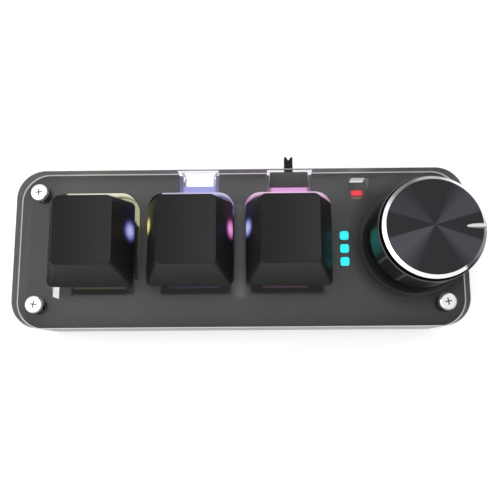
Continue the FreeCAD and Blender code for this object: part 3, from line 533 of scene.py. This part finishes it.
wellLight = {
    # rear walls beside the lamps: low and high place in the row, and where they start
    "spans": ((-37.5, -20, 4.8), (-17.0, -0.5, 8.6), (0.6, 20.5, 8.6)),
    "aside": (0.45, 0.9),
    "paleFrom": (12.4, 14.6),
    "footTop": (13.1, 12.7),
    "footRow": (-8.5, 4.0, 0.0, 0.2),
    "dimTone": (0.06, 0.06, 0.05, 1),
    "dimShare": 0.42,
    "paleShare": 0.5,
}


def wallTone(tree):
    # rear wall pale at its top and tinted below, only beside the lamps; side wall lit along its foot
    w = wellLight
    aside = spanOf(tree, maths(tree, "ABSOLUTE", facingOf(tree)["X"]), *w["aside"])
    hue = glowColour(tree)
    high = maths(tree, "MULTIPLY", placeSpan(tree, "Z", *w["paleFrom"]), maths(tree, "SUBTRACT", 1.0, aside))
    dim = blendOf(tree, w["dimShare"], hue, w["dimTone"])
    pale = blendOf(tree, w["paleShare"], hue, (1, 1, 1, 1))
    near = [box(tree, (low, front, 9), (high, 13, 17), 0.5) for low, high, front in w["spans"]]
    rear = strongest(tree, near)
    foot = maths(tree, "MULTIPLY", placeSpan(tree, "Z", *w["footTop"]), placeSpan(tree, "Y", *w["footRow"]))
    return blendOf(tree, strongest(tree, [rear, foot]), (0, 0, 0, 1), blendOf(tree, high, dim, pale))


buttonWall = {"low": (23.95, 13, 11), "high": (26.95, 16, 17), "edge": 0.12, "rise": (12.8, 14.2),
              "row": (12.2, 13.6)}


def barTone(tree):
    # painted light on the button window's rear wall: its bright part, with painted shade beside it, darker to
    # the front
    b = buttonWall
    lit = box(tree, b["low"], b["high"], b["edge"])
    shade = blendOf(tree, placeSpan(tree, "Z", *b["rise"]), tone(226, 226, 226), tone(186, 186, 187))
    plain = blendOf(tree, placeSpan(tree, "Y", *b["row"]), tone(52, 52, 52), tone(94, 94, 95))
    return blendOf(tree, lit, plain, shade)


coverMats = [
    material("coverFace", tone(250, 251, 252), 0.0, variation=0.01, wear=0.0, bump=0.0, **plate),
    material("coverEdge", edgeTone, 0.25, variation=0.05, Specular_IOR_Level=0.3),
    # the white line on the lower bevel glows a little, a painted highlight
    material("coverHighlightLine", tone(238, 238, 239), 0.35, variation=0.03, Emission_Color=(1, 1, 1, 1),
             Emission_Strength=0.22),
    material("wellLit", tone(34, 34, 32), 0.3, Emission_Color=wallTone, Emission_Strength=0.75),
    material("cutBright", tone(20, 20, 20), 0.4, variation=0.03, Specular_IOR_Level=0.1,
             Emission_Color=barTone, Emission_Strength=1.0),
]
print("materials made")


# Mesh helpers


def outline(width, depth, radius, x=0.0, y=0.0, grow=0.0, steps=8):
    # corner points of a rectangle with round corners, counter-clockwise
    half = (width / 2 + grow - radius, depth / 2 + grow - radius)
    points = []
    for corner, (sideX, sideY) in enumerate(((1, 1), (-1, 1), (-1, -1), (1, -1))):
        for step in range(steps + 1):
            turn = math.pi / 2 * (corner + step / steps)
            points.append((x + sideX * half[0] + radius * math.cos(turn),
                           y + sideY * half[1] + radius * math.sin(turn)))
    return points


def circle(radius, x=0.0, y=0.0, count=96):
    return [(x + radius * math.cos(2 * math.pi * k / count),
             y + radius * math.sin(2 * math.pi * k / count)) for k in range(count)]


def level(u, v, w):
    return (u, v, w)


def upright(u, v, w):
    # outline in x and z, depth along y
    return (u, w, v)


def ring(bm, points, height, place=level):
    verts = bmesh.ops.create_circle(bm, cap_ends=False, segments=len(points), radius=1.0)["verts"]
    for index, vert in enumerate(verts):
        u, v = points[index]
        vert.co = Vector(place(u, v, height(u, v) if callable(height) else height)) * mm
    return verts


def edgesOf(verts):
    # in the same order each run
    ends = set(verts)
    near = dict.fromkeys(e for v in verts for e in v.link_edges)
    return [e for e in near if e.verts[0] in ends and e.verts[1] in ends]


def join(bm, first, second, index=0):
    for face in bmesh.ops.bridge_loops(bm, edges=edgesOf(first) + edgesOf(second))["faces"]:
        face.material_index = index


def lid(bm, loops, index=0):
    edges = [e for loop in loops for e in edgesOf(loop)]
    if len(loops) == 1:
        faces = bmesh.ops.edgeloop_fill(bm, edges=edges)["faces"]
    else:
        filled = bmesh.ops.triangle_fill(bm, use_beauty=True, use_dissolve=False, edges=edges)
        faces = [g for g in filled["geom"] if isinstance(g, bmesh.types.BMFace)]
    for face in faces:
        face.material_index = index


def stack(bm, rings, indexes=None, place=level):
    # rings joined in turn, two at one height by a flat ring face; the first and last stay open
    loops = [ring(bm, points, height, place) for points, height in rings]
    for number in range(len(loops) - 1):
        index = indexes[number] if indexes else 0
        if rings[number][1] == rings[number + 1][1] and not callable(rings[number][1]):
            lid(bm, loops[number:number + 2], index)
        else:
            join(bm, loops[number], loops[number + 1], index)
    return loops


def softBlock(bm, width, depth, radius, low, high, x, y, edge, place=level):
    # closed block with small edges; width and depth lie in the outline's plane
    slim = outline(width, depth, radius, x, y, -edge, 6)
    full = outline(width, depth, radius, x, y, 0, 6)
    loops = stack(bm, [(slim, low), (full, low + edge), (full, high - edge), (slim, high)], place=place)
    lid(bm, [loops[0]])
    lid(bm, [loops[-1]])


def meshOf(bm, name, materials):
    bmesh.ops.recalc_face_normals(bm, faces=bm.faces)
    mesh = bpy.data.meshes.new(name)
    bm.to_mesh(mesh)
    bm.free()
    for entry in materials:
        mesh.materials.append(entry)
    return mesh


def finished(mesh, name, body, nodes, sharp=32):
    for face in mesh.polygons:
        face.use_smooth = True
    mesh.set_sharp_from_angle(angle=math.radians(sharp))
    made = bpy.data.objects.new(name, mesh)
    scene.collection.objects.link(made)
    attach(made, body)
    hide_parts(*nodes)
    print("made", name, len(mesh.polygons), "faces")


def carve(mesh, cutterMesh):
    # the first mesh less the second; cut faces keep the cutter's material
    body = bpy.data.objects.new("carved", mesh)
    cutter = bpy.data.objects.new("cutter", cutterMesh)
    for entry in (body, cutter):
        scene.collection.objects.link(entry)
    cut = body.modifiers.new("cut", "BOOLEAN")
    cut.object = cutter
    cut.operation = "DIFFERENCE"
    cut.solver = "EXACT"
    cut.material_mode = "TRANSFER"
    bpy.context.view_layer.update()
    made = bpy.data.meshes.new_from_object(body.evaluated_get(bpy.context.evaluated_depsgraph_get()))
    for entry in (body, cutter):
        bpy.data.objects.remove(entry)
    return made


# Clear cover

coverSizes = {"length": 96.0, "depth": 34.0, "corner": 6.0, "low": 12.08, "high": 15.5, "bevel": 0.1,
              "lowBevel": 0.15, "rim": 0.03, "clearSpans": notchSpans, "clearTop": 14.4, "edgeSteps": 16,
              "screwGap": 0.1}
wellSizes = {"width": 18.3, "depth": 21.9, "corner": 3.4, "y": 0.85}


def withSpans(points, back):
    # extra points on the straight rear edge at the ends of the clear spans, right to left
    marks = sorted((x for span in coverSizes["clearSpans"] for x in span), reverse=True)
    made = []
    for index, point in enumerate(points):
        made.append(point)
        after = points[(index + 1) % len(points)]
        straight = point[0] - after[0] > coverSizes["length"] / 2
        if straight and point[1] > back - 0.01 and after[1] > back - 0.01:
            made += [(x, point[1]) for x in marks]
    return made


def makeCover():
    c = coverSizes
    bm = bmesh.new()
    back = c["depth"] / 2

    def edgeShape(less):
        shape = outline(c["length"], c["depth"], c["corner"], grow=-less, steps=c["edgeSteps"])
        return withSpans(shape, back - less)

    full = edgeShape(0)
    levels = [(edgeShape(c["lowBevel"]), c["low"]), (full, c["low"] + c["lowBevel"]), (full, c["clearTop"]),
              (full, c["high"] - c["bevel"]), (edgeShape(c["bevel"]), c["high"])]
    loops = stack(bm, levels, [2, 1, 1, 1])
    for face in bm.faces:
        middle = face.calc_center_median() / mm
        inSpan = any(low < middle.x < high for low, high in c["clearSpans"])
        if inSpan and middle.y > back - 0.5 and middle.z < c["clearTop"]:
            face.material_index = 0
    lows, highs = [loops[0]], [loops[-1]]
    w = wellSizes
    b = buttonSizes
    holes = [(w["width"], w["depth"], w["corner"], x, w["y"], 3) for x in keySizes["xs"]]
    holes.append((b["windowWidth"], b["windowDepth"], b["windowCorner"], b["x"], b["y"], 4))
    for width, depth, corner, x, y, lit in holes:
        shape = outline(width, depth, corner, x, y)
        wide = outline(width, depth, corner, x, y, c["rim"])
        before = set(bm.faces)
        cut = stack(bm, [(shape, c["low"]), (shape, c["high"] - c["rim"]), (wide, c["high"])])
        for face in set(bm.faces) - before:
            place = face.calc_center_median() / mm
            rear = place.y > y + depth / 2 - corner
            side = place.x > x + width / 2 - corner and place.y > y - depth / 2 + corner
            face.material_index = lit if rear or side else 0
        lows.append(cut[0])
        highs.append(cut[-1])
    s = screwSizes
    rounds = [(knobSizes["hole"], knobSizes["x"], knobSizes["y"], 96)]
    for sideX, sideY in ((-1, -1), (-1, 1), (1, -1), (1, 1)):
        rounds.append((s["radius"] + c["screwGap"], sideX * s["x"], sideY * s["y"], 32))
    for radius, x, y, count in rounds:
        cut = stack(bm, [(circle(radius, x, y, count), c["low"]), (circle(radius, x, y, count), c["high"])])
        lows.append(cut[0])
        highs.append(cut[-1])
    lid(bm, lows)
    lid(bm, highs)
    finished(meshOf(bm, "clearCoverPlate", coverMats), "clearCoverPlate", "case",
             ["clear_cover"])


# Keycaps

keySizes = {"xs": (-31.2, -10.45, 10.3), "y": 0.5}
capSizes = {"base": 18.0, "baseRound": 1.2, "topWidth": 12.0, "topDepth": 14.15, "topRound": 1.3,
            "shift": 1.52, "low": 16.5, "height": 8.35, "band": 0.5, "drop": 0.2, "inset": 0.15, "dish": 0.45,
            "wall": 1.1, "roof": 1.7, "lip": 0.12, "leastRound": 0.3, "post": 2.75, "postLow": 18.6,
            "overlap": 0.02}
# the rings of the dished top, as shares of its outline
dishShares = (0.94, 0.85, 0.72, 0.58, 0.44, 0.3, 0.16, 0.05)
capLight = {"side": 8.4, "hazePlace": (6.6, 17.6), "hazeReach": (7, 6.4, 5.6), "hazeShare": 0.35,
            "grain": 3400.0, "grainShare": 0.9, "halo": (0.1, 0.85), "core": (0.35, 1.2)}
coreTones = {"yellow": tone(255, 246, 160), "blue": tone(196, 198, 255), "sky": tone(200, 208, 255),
             "pink": tone(250, 168, 236)}
spotTones = {"yellow": tone(200, 186, 70), "blue": tone(66, 70, 158), "sky": tone(96, 106, 190),
             "pink": tone(180, 84, 156)}
# per cap: side, tone, place in y and z, and reach on the side wall
capSpots = (
    ((1, "blue", (2.9, 18.5), (6, 3.7, 3.5)),),
    ((-1, "yellow", (4.0, 17.8), (6, 2.9, 3.6)), (1, "pink", (3.2, 18.0), (6, 3.4, 3.2))),
    ((-1, "sky", (3.5, 18.0), (6, 3.2, 4.0)),),
)
hazeTones = {-1: (None, tone(84, 80, 26), tone(40, 44, 80)), 1: (tone(24, 24, 66), tone(66, 28, 58), None)}


def capOutline(x, height, inset=0.0, scale=1.0):
    c = capSizes
    share = max(0.0, (height - c["band"]) / (c["height"] - c["band"]))
    width = c["base"] + (c["topWidth"] - c["base"]) * share
    depth = c["base"] + (c["topDepth"] - c["base"]) * share
    radius = c["baseRound"] + (c["topRound"] - c["baseRound"]) * share
    points = outline(width - 2 * inset, depth - 2 * inset, max(c["leastRound"], radius - inset))
    return [(x + u * scale, keySizes["y"] + c["shift"] * share + v * scale) for u, v in points]


def capShading(x):
    # painted light and shade: top lighter to the right, front lighter than the top, sides darker
    def made(tree):
        facing = facingOf(tree)
        right = spanOf(tree, facing["X"], 0.45, 0.75)
        left = spanOf(tree, facing["X"], -0.45, -0.75, 0.0, 0.75)
        top = blendOf(tree, placeSpan(tree, "X", x - 7, x + 7), tone(33, 33, 34), tone(46, 46, 46))
        flat = blendOf(tree, spanOf(tree, facing["Y"], -0.2, -0.5), top, tone(53, 53, 54))
        return blendOf(tree, strongest(tree, [right, left]), flat, tone(32, 32, 33))

    return made


def capGlow(number, x):
    # the lamps' light on the sides: a grainy spot with a bright core, and a weak haze
    c = capLight

    def made(tree):
        total = (0.0, 0.0, 0.0, 1)
        for side, tones in hazeTones.items():
            if tones[number]:
                haze = spot(tree, (x + side * c["side"], *c["hazePlace"]), c["hazeReach"])
                total = blendOf(tree, maths(tree, "MULTIPLY", haze, c["hazeShare"]), total, tones[number])
        speck = add(tree, "ShaderNodeTexNoise", {"Scale": c["grain"], "Detail": 1.0}).outputs["Fac"]
        grain = maths(tree, "MULTIPLY", maths(tree, "SUBTRACT", speck, 0.5), c["grainShare"])
        for side, hue, place, reach in capSpots[number]:
            mask = spot(tree, (x + side * c["side"], *place), reach)
            rough = maths(tree, "ADD", mask, grain)
            halo = maths(tree, "MULTIPLY", spanOf(tree, rough, *c["halo"]), spanOf(tree, mask, 0.0, 0.25))
            total = blendOf(tree, halo, total, spotTones[hue])
            total = blendOf(tree, spanOf(tree, rough, *c["core"]), total, coreTones[hue])
        return total

    return made


def makeCap(number, x):
    c = capSizes
    bm = bmesh.new()
    topZ = c["low"] + c["height"]

    def dished(u, v):
        return topZ - c["dish"] * max(0.0, 1 - ((u - x) / (c["topWidth"] / 2)) ** 2)

    rings = [(capOutline(x, c["height"] - c["roof"], c["wall"]), topZ - c["roof"]),
             (capOutline(x, c["band"], c["wall"]), c["low"] + c["band"]),
             (capOutline(x, 0, c["wall"]), c["low"]), (capOutline(x, 0, c["lip"]), c["low"]),
             (capOutline(x, 0), c["low"] + c["lip"]), (capOutline(x, c["band"]), c["low"] + c["band"])]
    edgeHeight = c["height"] - c["drop"]
    rings.append((capOutline(x, edgeHeight), c["low"] + edgeHeight))
    for step in (1, 2, 3):
        turn = math.pi / 2 * step / 4
        height = edgeHeight + c["drop"] * math.sin(turn)
        rings.append((capOutline(x, height, c["inset"] * (1 - math.cos(turn))), c["low"] + height))
    rings.append((capOutline(x, c["height"], c["inset"]), dished))
    for scale in dishShares:
        rings.append((capOutline(x, c["height"], c["inset"], scale), dished))
    loops = stack(bm, rings)
    lid(bm, [loops[0]])
    lid(bm, [loops[-1]])
    postShape = circle(c["post"], x, keySizes["y"], 40)
    post = stack(bm, [(postShape, c["postLow"]), (postShape, topZ - c["roof"] + c["overlap"])])
    lid(bm, [post[0]])
    lid(bm, [post[1]])
    skin = material(f"capPlastic{number + 1}", capShading(x), 0.45, variation=0.04, grain=4200.0, bump=0.05,
                    Specular_IOR_Level=0.08, Emission_Color=capGlow(number, x), Emission_Strength=0.9)
    mesh = meshOf(bm, f"keycapBody{number + 1}", [skin])
    finished(mesh, f"keycapBody{number + 1}", f"key_{number + 1}", [f"keycap_{number + 1}"])


# Knob

knobSizes = {"x": knobCentre[0], "y": knobCentre[1], "hole": 9.2, "foot": 17.2, "footRadius": 10.3,
             "footIn": 0.12, "footUp": 0.08, "rise": 0.4, "radius": 10.55, "shoulderIn": 0.14,
             "shoulderUp": 0.16, "bodyTop": 26.55, "grooveRadius": 9.75, "grooveTop": 27.3,
             "ringRadius": 10.05, "ringEdge": 0.06, "bandTop": 27.9, "top": 28.5, "chamfer": 0.7,
             "core": 7.6, "coreTop": 26.8, "pointer": 4.0, "pointerWidth": 1.0, "pointerDepth": 0.35,
             "overrun": 1.0, "count": 128}
# how the pointer's groove widens: distance from its tip, and share of its half width
pointerShares = ((0.12, 0.35), (0.5, 0.6), (1.2, 0.85), (2.2, 1.0))


def makeKnob():
    k = knobSizes
    bm = bmesh.new()
    edge = k["ringEdge"]
    # radius, height, and the material of the face that follows
    profile = [
        (k["core"], k["coreTop"], 0), (k["core"], k["foot"], 0),
        (k["footRadius"] - k["footIn"], k["foot"], 0), (k["footRadius"], k["foot"] + k["footUp"], 0),
        (k["radius"], k["foot"] + k["rise"], 0),
        (k["radius"], k["bodyTop"] - k["shoulderUp"], 5), (k["radius"] - k["shoulderIn"], k["bodyTop"], 1),
        (k["grooveRadius"], k["bodyTop"], 1), (k["grooveRadius"], k["grooveTop"], 1),
        (k["ringRadius"] - edge, k["grooveTop"], 1), (k["ringRadius"], k["grooveTop"] + edge, 1),
        (k["ringRadius"], k["bandTop"], 2), (k["ringRadius"] - k["chamfer"], k["top"], 3),
    ]
    rings = [(circle(radius, k["x"], k["y"], k["count"]), z) for radius, z, _ in profile]
    loops = stack(bm, rings, [index for _, _, index in profile])
    lid(bm, [loops[0]])
    lid(bm, [loops[-1]], 3)
    shell = meshOf(bm, "knobTurned", knobMats)
    cut = bmesh.new()
    start, end = k["ringRadius"] - k["pointer"], k["ringRadius"] + k["overrun"]
    half = k["pointerWidth"] / 2
    upper = [(start + u, half * v) for u, v in pointerShares] + [(end, half)]
    points = [(start, 0.0)] + [(u, -v) for u, v in upper] + upper[::-1]
    points = [(k["x"] + u, k["y"] + v) for u, v in points]
    loops = stack(cut, [(points, k["top"] - k["pointerDepth"]), (points, k["top"] + k["overrun"])], [4])
    lid(cut, [loops[0]], 4)
    lid(cut, [loops[1]], 4)
    mesh = carve(shell, meshOf(cut, "pointerCut", knobMats))
    finished(mesh, "knobTurned", "knob", ["knob_shell"], sharp=25)


# Screws

screwSizes = {"x": 42.95, "y": 12.0, "radius": 1.0, "head": 1.85, "height": 1.1, "low": 5.5, "round": 0.45,
              "edge": 0.08, "recess": 1.55, "recessWidth": 0.3, "recessDepth": 0.6, "recessRound": 0.08,
              "recessTaper": 0.04, "overrun": 0.5, "count": 32}
# side of the case in x and y, and how far each recess is turned
screwTurns = ((-1, 1, 4), (-1, -1, -6), (1, -1, 9), (1, 1, 20))


def makeScrews():
    s = screwSizes
    seat = coverSizes["high"]
    bm = bmesh.new()
    top = seat + s["height"]
    count, edge = s["count"], s["edge"]
    rings = [(circle(s["radius"], count=count), s["low"]), (circle(s["radius"], count=count), seat),
             (circle(s["head"] - edge, count=count), seat), (circle(s["head"], count=count), seat + edge)]
    for step in range(5):
        turn = math.pi / 2 * step / 4
        radius = s["head"] - s["round"] * (1 - math.cos(turn))
        rings.append((circle(radius, count=count), top - s["round"] + s["round"] * math.sin(turn)))
    loops = stack(bm, rings, [2] + [0] * (len(rings) - 2))
    lid(bm, [loops[0]], 2)
    lid(bm, [loops[-1]])
    skin = [mats["bright_screw"], mats["recessShade"], mats["shankShade"]]
    whole = meshOf(bm, "screwWhole", skin)
    long, thin = s["recess"], s["recessWidth"]
    for width, depth in ((long, thin), (thin, long)):
        cut = bmesh.new()
        shape = outline(width, depth, s["recessRound"], steps=2)
        slim = outline(width, depth, s["recessRound"], grow=-s["recessTaper"], steps=2)
        loops = stack(cut, [(slim, top - s["recessDepth"]), (shape, top + s["overrun"])], [1])
        lid(cut, [loops[0]], 1)
        lid(cut, [loops[1]], 1)
        whole = carve(whole, meshOf(cut, "recessCut", skin))
    bm = bmesh.new()
    for sideX, sideY, degrees in screwTurns:
        before = set(bm.verts)
        bm.from_mesh(whole)
        fresh = [v for v in bm.verts if v not in before]
        bmesh.ops.rotate(bm, verts=fresh, cent=(0, 0, 0),
                         matrix=Matrix.Rotation(math.radians(degrees), 3, "Z"))
        bmesh.ops.translate(bm, verts=fresh, vec=(sideX * s["x"] * mm, sideY * s["y"] * mm, 0))
    finished(meshOf(bm, "coverScrewSet", skin), "coverScrewSet", "case", ["cover_screws"])


# Socket, slide and lever on the back

socketSizes = {
    "x": -9.1, "z": 8.225, "width": 7.1, "height": 2.45, "mouthWidth": 8.8, "mouthHeight": 3.1, "metal": 0.3,
    "round": 0.75, "innerRound": 0.5, "front": 12.8, "floor": 13.1, "throat": 17.1, "mouth": 17.98,
    "tongue": {"width": 4.6, "depth": 0.6, "radius": 0.15, "high": 17.3, "edge": 0.08},
    "collar": {"width": 6.5, "depth": 1.85, "radius": 0.4, "high": 13.4, "edge": 0.04},
}


def makeSocket():
    s = socketSizes
    body, flare = (s["width"], s["height"]), (s["mouthWidth"], s["mouthHeight"])

    def shape(size, less, corner):
        return outline(size[0] - 2 * less, size[1] - 2 * less, corner, s["x"], s["z"], steps=6)

    bm = bmesh.new()
    outer = stack(bm, [(shape(flare, 0, s["round"]), s["mouth"]), (shape(body, 0, s["round"]), s["throat"]),
                       (shape(body, 0, s["round"]), s["front"])], place=upright)
    bore = shape(body, s["metal"], s["innerRound"])
    hollow = stack(bm, [(bore, s["floor"]), (bore, s["throat"]),
                        (shape(flare, s["metal"], s["innerRound"]), s["mouth"])], place=upright)
    join(bm, outer[0], hollow[-1])
    lid(bm, [outer[-1]])
    lid(bm, [hollow[0]])
    mesh = meshOf(bm, "socketShellFolded", [mats["socket_steel"]])
    finished(mesh, "socketShellFolded", "case", ["socket_shell"])
    bm = bmesh.new()
    for name in ("tongue", "collar"):
        softBlock(bm, low=s["floor"], x=s["x"], y=s["z"], place=upright, **s[name])
    mesh = meshOf(bm, "socketTongueBar", [mats["switch_black"]])
    finished(mesh, "socketTongueBar", "case", ["socket_tongue"])


slideSizes = {
    "x": 10.85, "y": 15.95, "z": 8.75,
    "body": {"width": 8.5, "depth": 3.5, "radius": 0.25, "low": 7.0, "high": 10.5, "edge": 0.12},
    "slot": {"width": 4.2, "depth": 1.6, "radius": 0.1, "low": 17.0, "high": 19.0, "edge": 0.01},
    "hollow": {"width": 5.8, "depth": 2.3, "radius": 0.1, "low": 14.8, "high": 17.1, "edge": 0.01},
    "foot": {"width": 3.6, "depth": 2.2, "radius": 0.1, "low": 7.65, "high": 9.85, "edge": 0.08},
    "root": 16.0, "tip": 21.5, "half": 0.95, "prong": 0.55, "fork": 0.8, "bevel": 0.1,
    "low": 8.0, "high": 9.5,
}


def makeSlide():
    s = slideSizes
    bm = bmesh.new()
    softBlock(bm, x=s["x"], y=s["y"], **s["body"])
    whole = meshOf(bm, "slideWhole", [mats["slideSteel"]])
    cut = bmesh.new()
    for name in ("slot", "hollow"):
        softBlock(cut, x=s["x"], y=s["z"], place=upright, **s[name])
    mesh = carve(whole, meshOf(cut, "slotCut", [mats["slideSteel"]]))
    finished(mesh, "slideHousing", "case", ["slide_body"])
    bm = bmesh.new()
    softBlock(bm, x=s["x"], y=s["y"], **s["foot"])
    tip, half, bevel = s["tip"], s["half"], s["bevel"]
    right = [(half, s["root"]), (half, tip - bevel), (half - bevel, tip), (s["prong"], tip)]
    points = [(-half, s["root"]), *right, (0, tip - s["fork"])] + [(-u, v) for u, v in right[:0:-1]]
    points = [(s["x"] + u, v) for u, v in points]
    loops = stack(bm, [(points, s["low"]), (points, s["high"])])
    lid(bm, [loops[0]])
    lid(bm, [loops[1]])
    mesh = meshOf(bm, "slideLeverForked", [mats["lever_plastic"]])
    finished(mesh, "slideLeverForked", "power_slide", ["slide_lever"])


# Indicator windows and button

windowSizes = {"x": 22.6, "ys": (-2.85, 0.0, 2.85), "width": 1.9, "corner": 0.5, "edge": 0.1}


def makeWindows():
    w = windowSizes
    low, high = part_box("indicator_guides")
    bm = bmesh.new()
    for y in w["ys"]:
        softBlock(bm, w["width"], w["width"], w["corner"], low.z / mm, high.z / mm, w["x"], y, w["edge"])
    mesh = meshOf(bm, "indicatorLenses", [mats["window_cyan"]])
    finished(mesh, "indicatorLenses", "case", ["indicator_guides"])


buttonSizes = {"x": 25.6, "y": 12.3, "width": 2.5, "depth": 1.2, "corner": 0.35, "edge": 0.1, "foot": 0.8,
               "footCorner": 0.2, "footEdge": 0.05, "footTop": 10.45, "lift": 0.3, "windowWidth": 4.1,
                "windowDepth": 4.8, "windowCorner": 0.15}


def makeButton():
    b = buttonSizes
    low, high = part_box("pairing_button")
    bottom, top = low.z / mm, high.z / mm
    width, depth, foot = b["width"], b["depth"], b["foot"]
    bm = bmesh.new()
    softBlock(bm, width, depth, b["corner"], bottom + b["lift"], top, b["x"], b["y"], b["edge"])
    softBlock(bm, width + foot, depth + foot, b["footCorner"], bottom, b["footTop"], b["x"], b["y"],
              b["footEdge"])
    mesh = meshOf(bm, "pairButtonCap", [mats["button_red"]])
    finished(mesh, "pairButtonCap", "pair_button", ["pairing_button"])


# The pieces are made

makeCover()
for capNumber, capX in enumerate(keySizes["xs"]):
    makeCap(capNumber, capX)
makeKnob()
makeScrews()
makeSocket()
makeSlide()
makeWindows()
makeButton()
print("pieces made")

# The other nodes are shown as packed, each with its finish

slotOf = {entry["node"]: entry["material_slot"] for entry in frame["record"]["subparts"]}
for name, node in frame["nodes"].items():
    if node.hide_render:
        continue
    node.data.materials.clear()
    node.data.materials.append(mats[slotOf[name]])
print("carried nodes finished")

# Floor, world, lamps and camera

stage = {"floorHalf": 1.5, "floorTone": tone(243, 243, 243), "floorGlow": 0.25,
         "skyRise": (0.1, 0.8, 0.3, 1.05)}
# places and sizes in metres, power in watts
lamps = {
    "lampLeft": {"place": (-0.35, -0.12, 0.4), "size": 0.7, "power": 1.2},
    "lampBack": {"place": (0.1, 0.4, 0.35), "size": 0.6, "power": 0.4},
}
# fitted to the photo, in metres and radians; the lens is in millimetres
cameraFit = {"place": (0.003607, -0.023549, 0.147537), "turn": (0.170527, 0.012370, -0.006551),
             "lens": 45.659, "near": 0.005, "far": 20.0}

floorBuild = bmesh.new()
bmesh.ops.create_grid(floorBuild, x_segments=2, y_segments=2, size=stage["floorHalf"])
floorTone = material("floorPaper", stage["floorTone"], 0.8, variation=0.01, bump=0.0)
floor = bpy.data.objects.new("floor", meshOf(floorBuild, "floor", [floorTone]))
scene.collection.objects.link(floor)


def whiteRays(tree):
    path = add(tree, "ShaderNodeLightPath").outputs
    seen = maths(tree, "MAXIMUM", path["Is Camera Ray"], path["Is Glossy Ray"])
    return maths(tree, "MAXIMUM", seen, path["Is Transmission Ray"])


floorTree = floorTone.node_tree
floorSkin = floorTree.nodes["Principled BSDF"]
floorSkin.inputs["Emission Color"].default_value = (1, 1, 1, 1)
floorLight = maths(floorTree, "MULTIPLY", whiteRays(floorTree), stage["floorGlow"])
floorTree.links.new(floorLight, floorSkin.inputs["Emission Strength"])

world = bpy.data.worlds.new("studio")
scene.world = world
world.use_nodes = True
worldTree = world.node_tree
sky = worldTree.nodes["Background"]
path = add(worldTree, "ShaderNodeLightPath").outputs
skyPlace = add(worldTree, "ShaderNodeTexCoord").outputs["Generated"]
rise = add(worldTree, "ShaderNodeSeparateXYZ", {0: skyPlace}).outputs["Z"]
dim = spanOf(worldTree, rise, *stage["skyRise"])
worldTree.links.new(maths(worldTree, "MAXIMUM", dim, path["Is Camera Ray"]), sky.inputs["Strength"])
sky.inputs["Color"].default_value = (1, 1, 1, 1)


def softLamp(name, place, size, power):
    lamp = bpy.data.lights.new(name, "AREA")
    lamp.size = size
    lamp.energy = power
    made = bpy.data.objects.new(name, lamp)
    made.location = place
    made.rotation_euler = (-Vector(place)).to_track_quat("-Z", "Y").to_euler()
    made.visible_transmission = False
    scene.collection.objects.link(made)


for name, values in lamps.items():
    softLamp(name, **values)

camera = bpy.data.objects.new("camera", bpy.data.cameras.new("camera"))
camera.location = cameraFit["place"]
camera.rotation_euler = cameraFit["turn"]
camera.data.lens = cameraFit["lens"]
camera.data.clip_start = cameraFit["near"]
camera.data.clip_end = cameraFit["far"]
scene.collection.objects.link(camera)
scene.camera = camera
scene.view_settings.view_transform = "Standard"
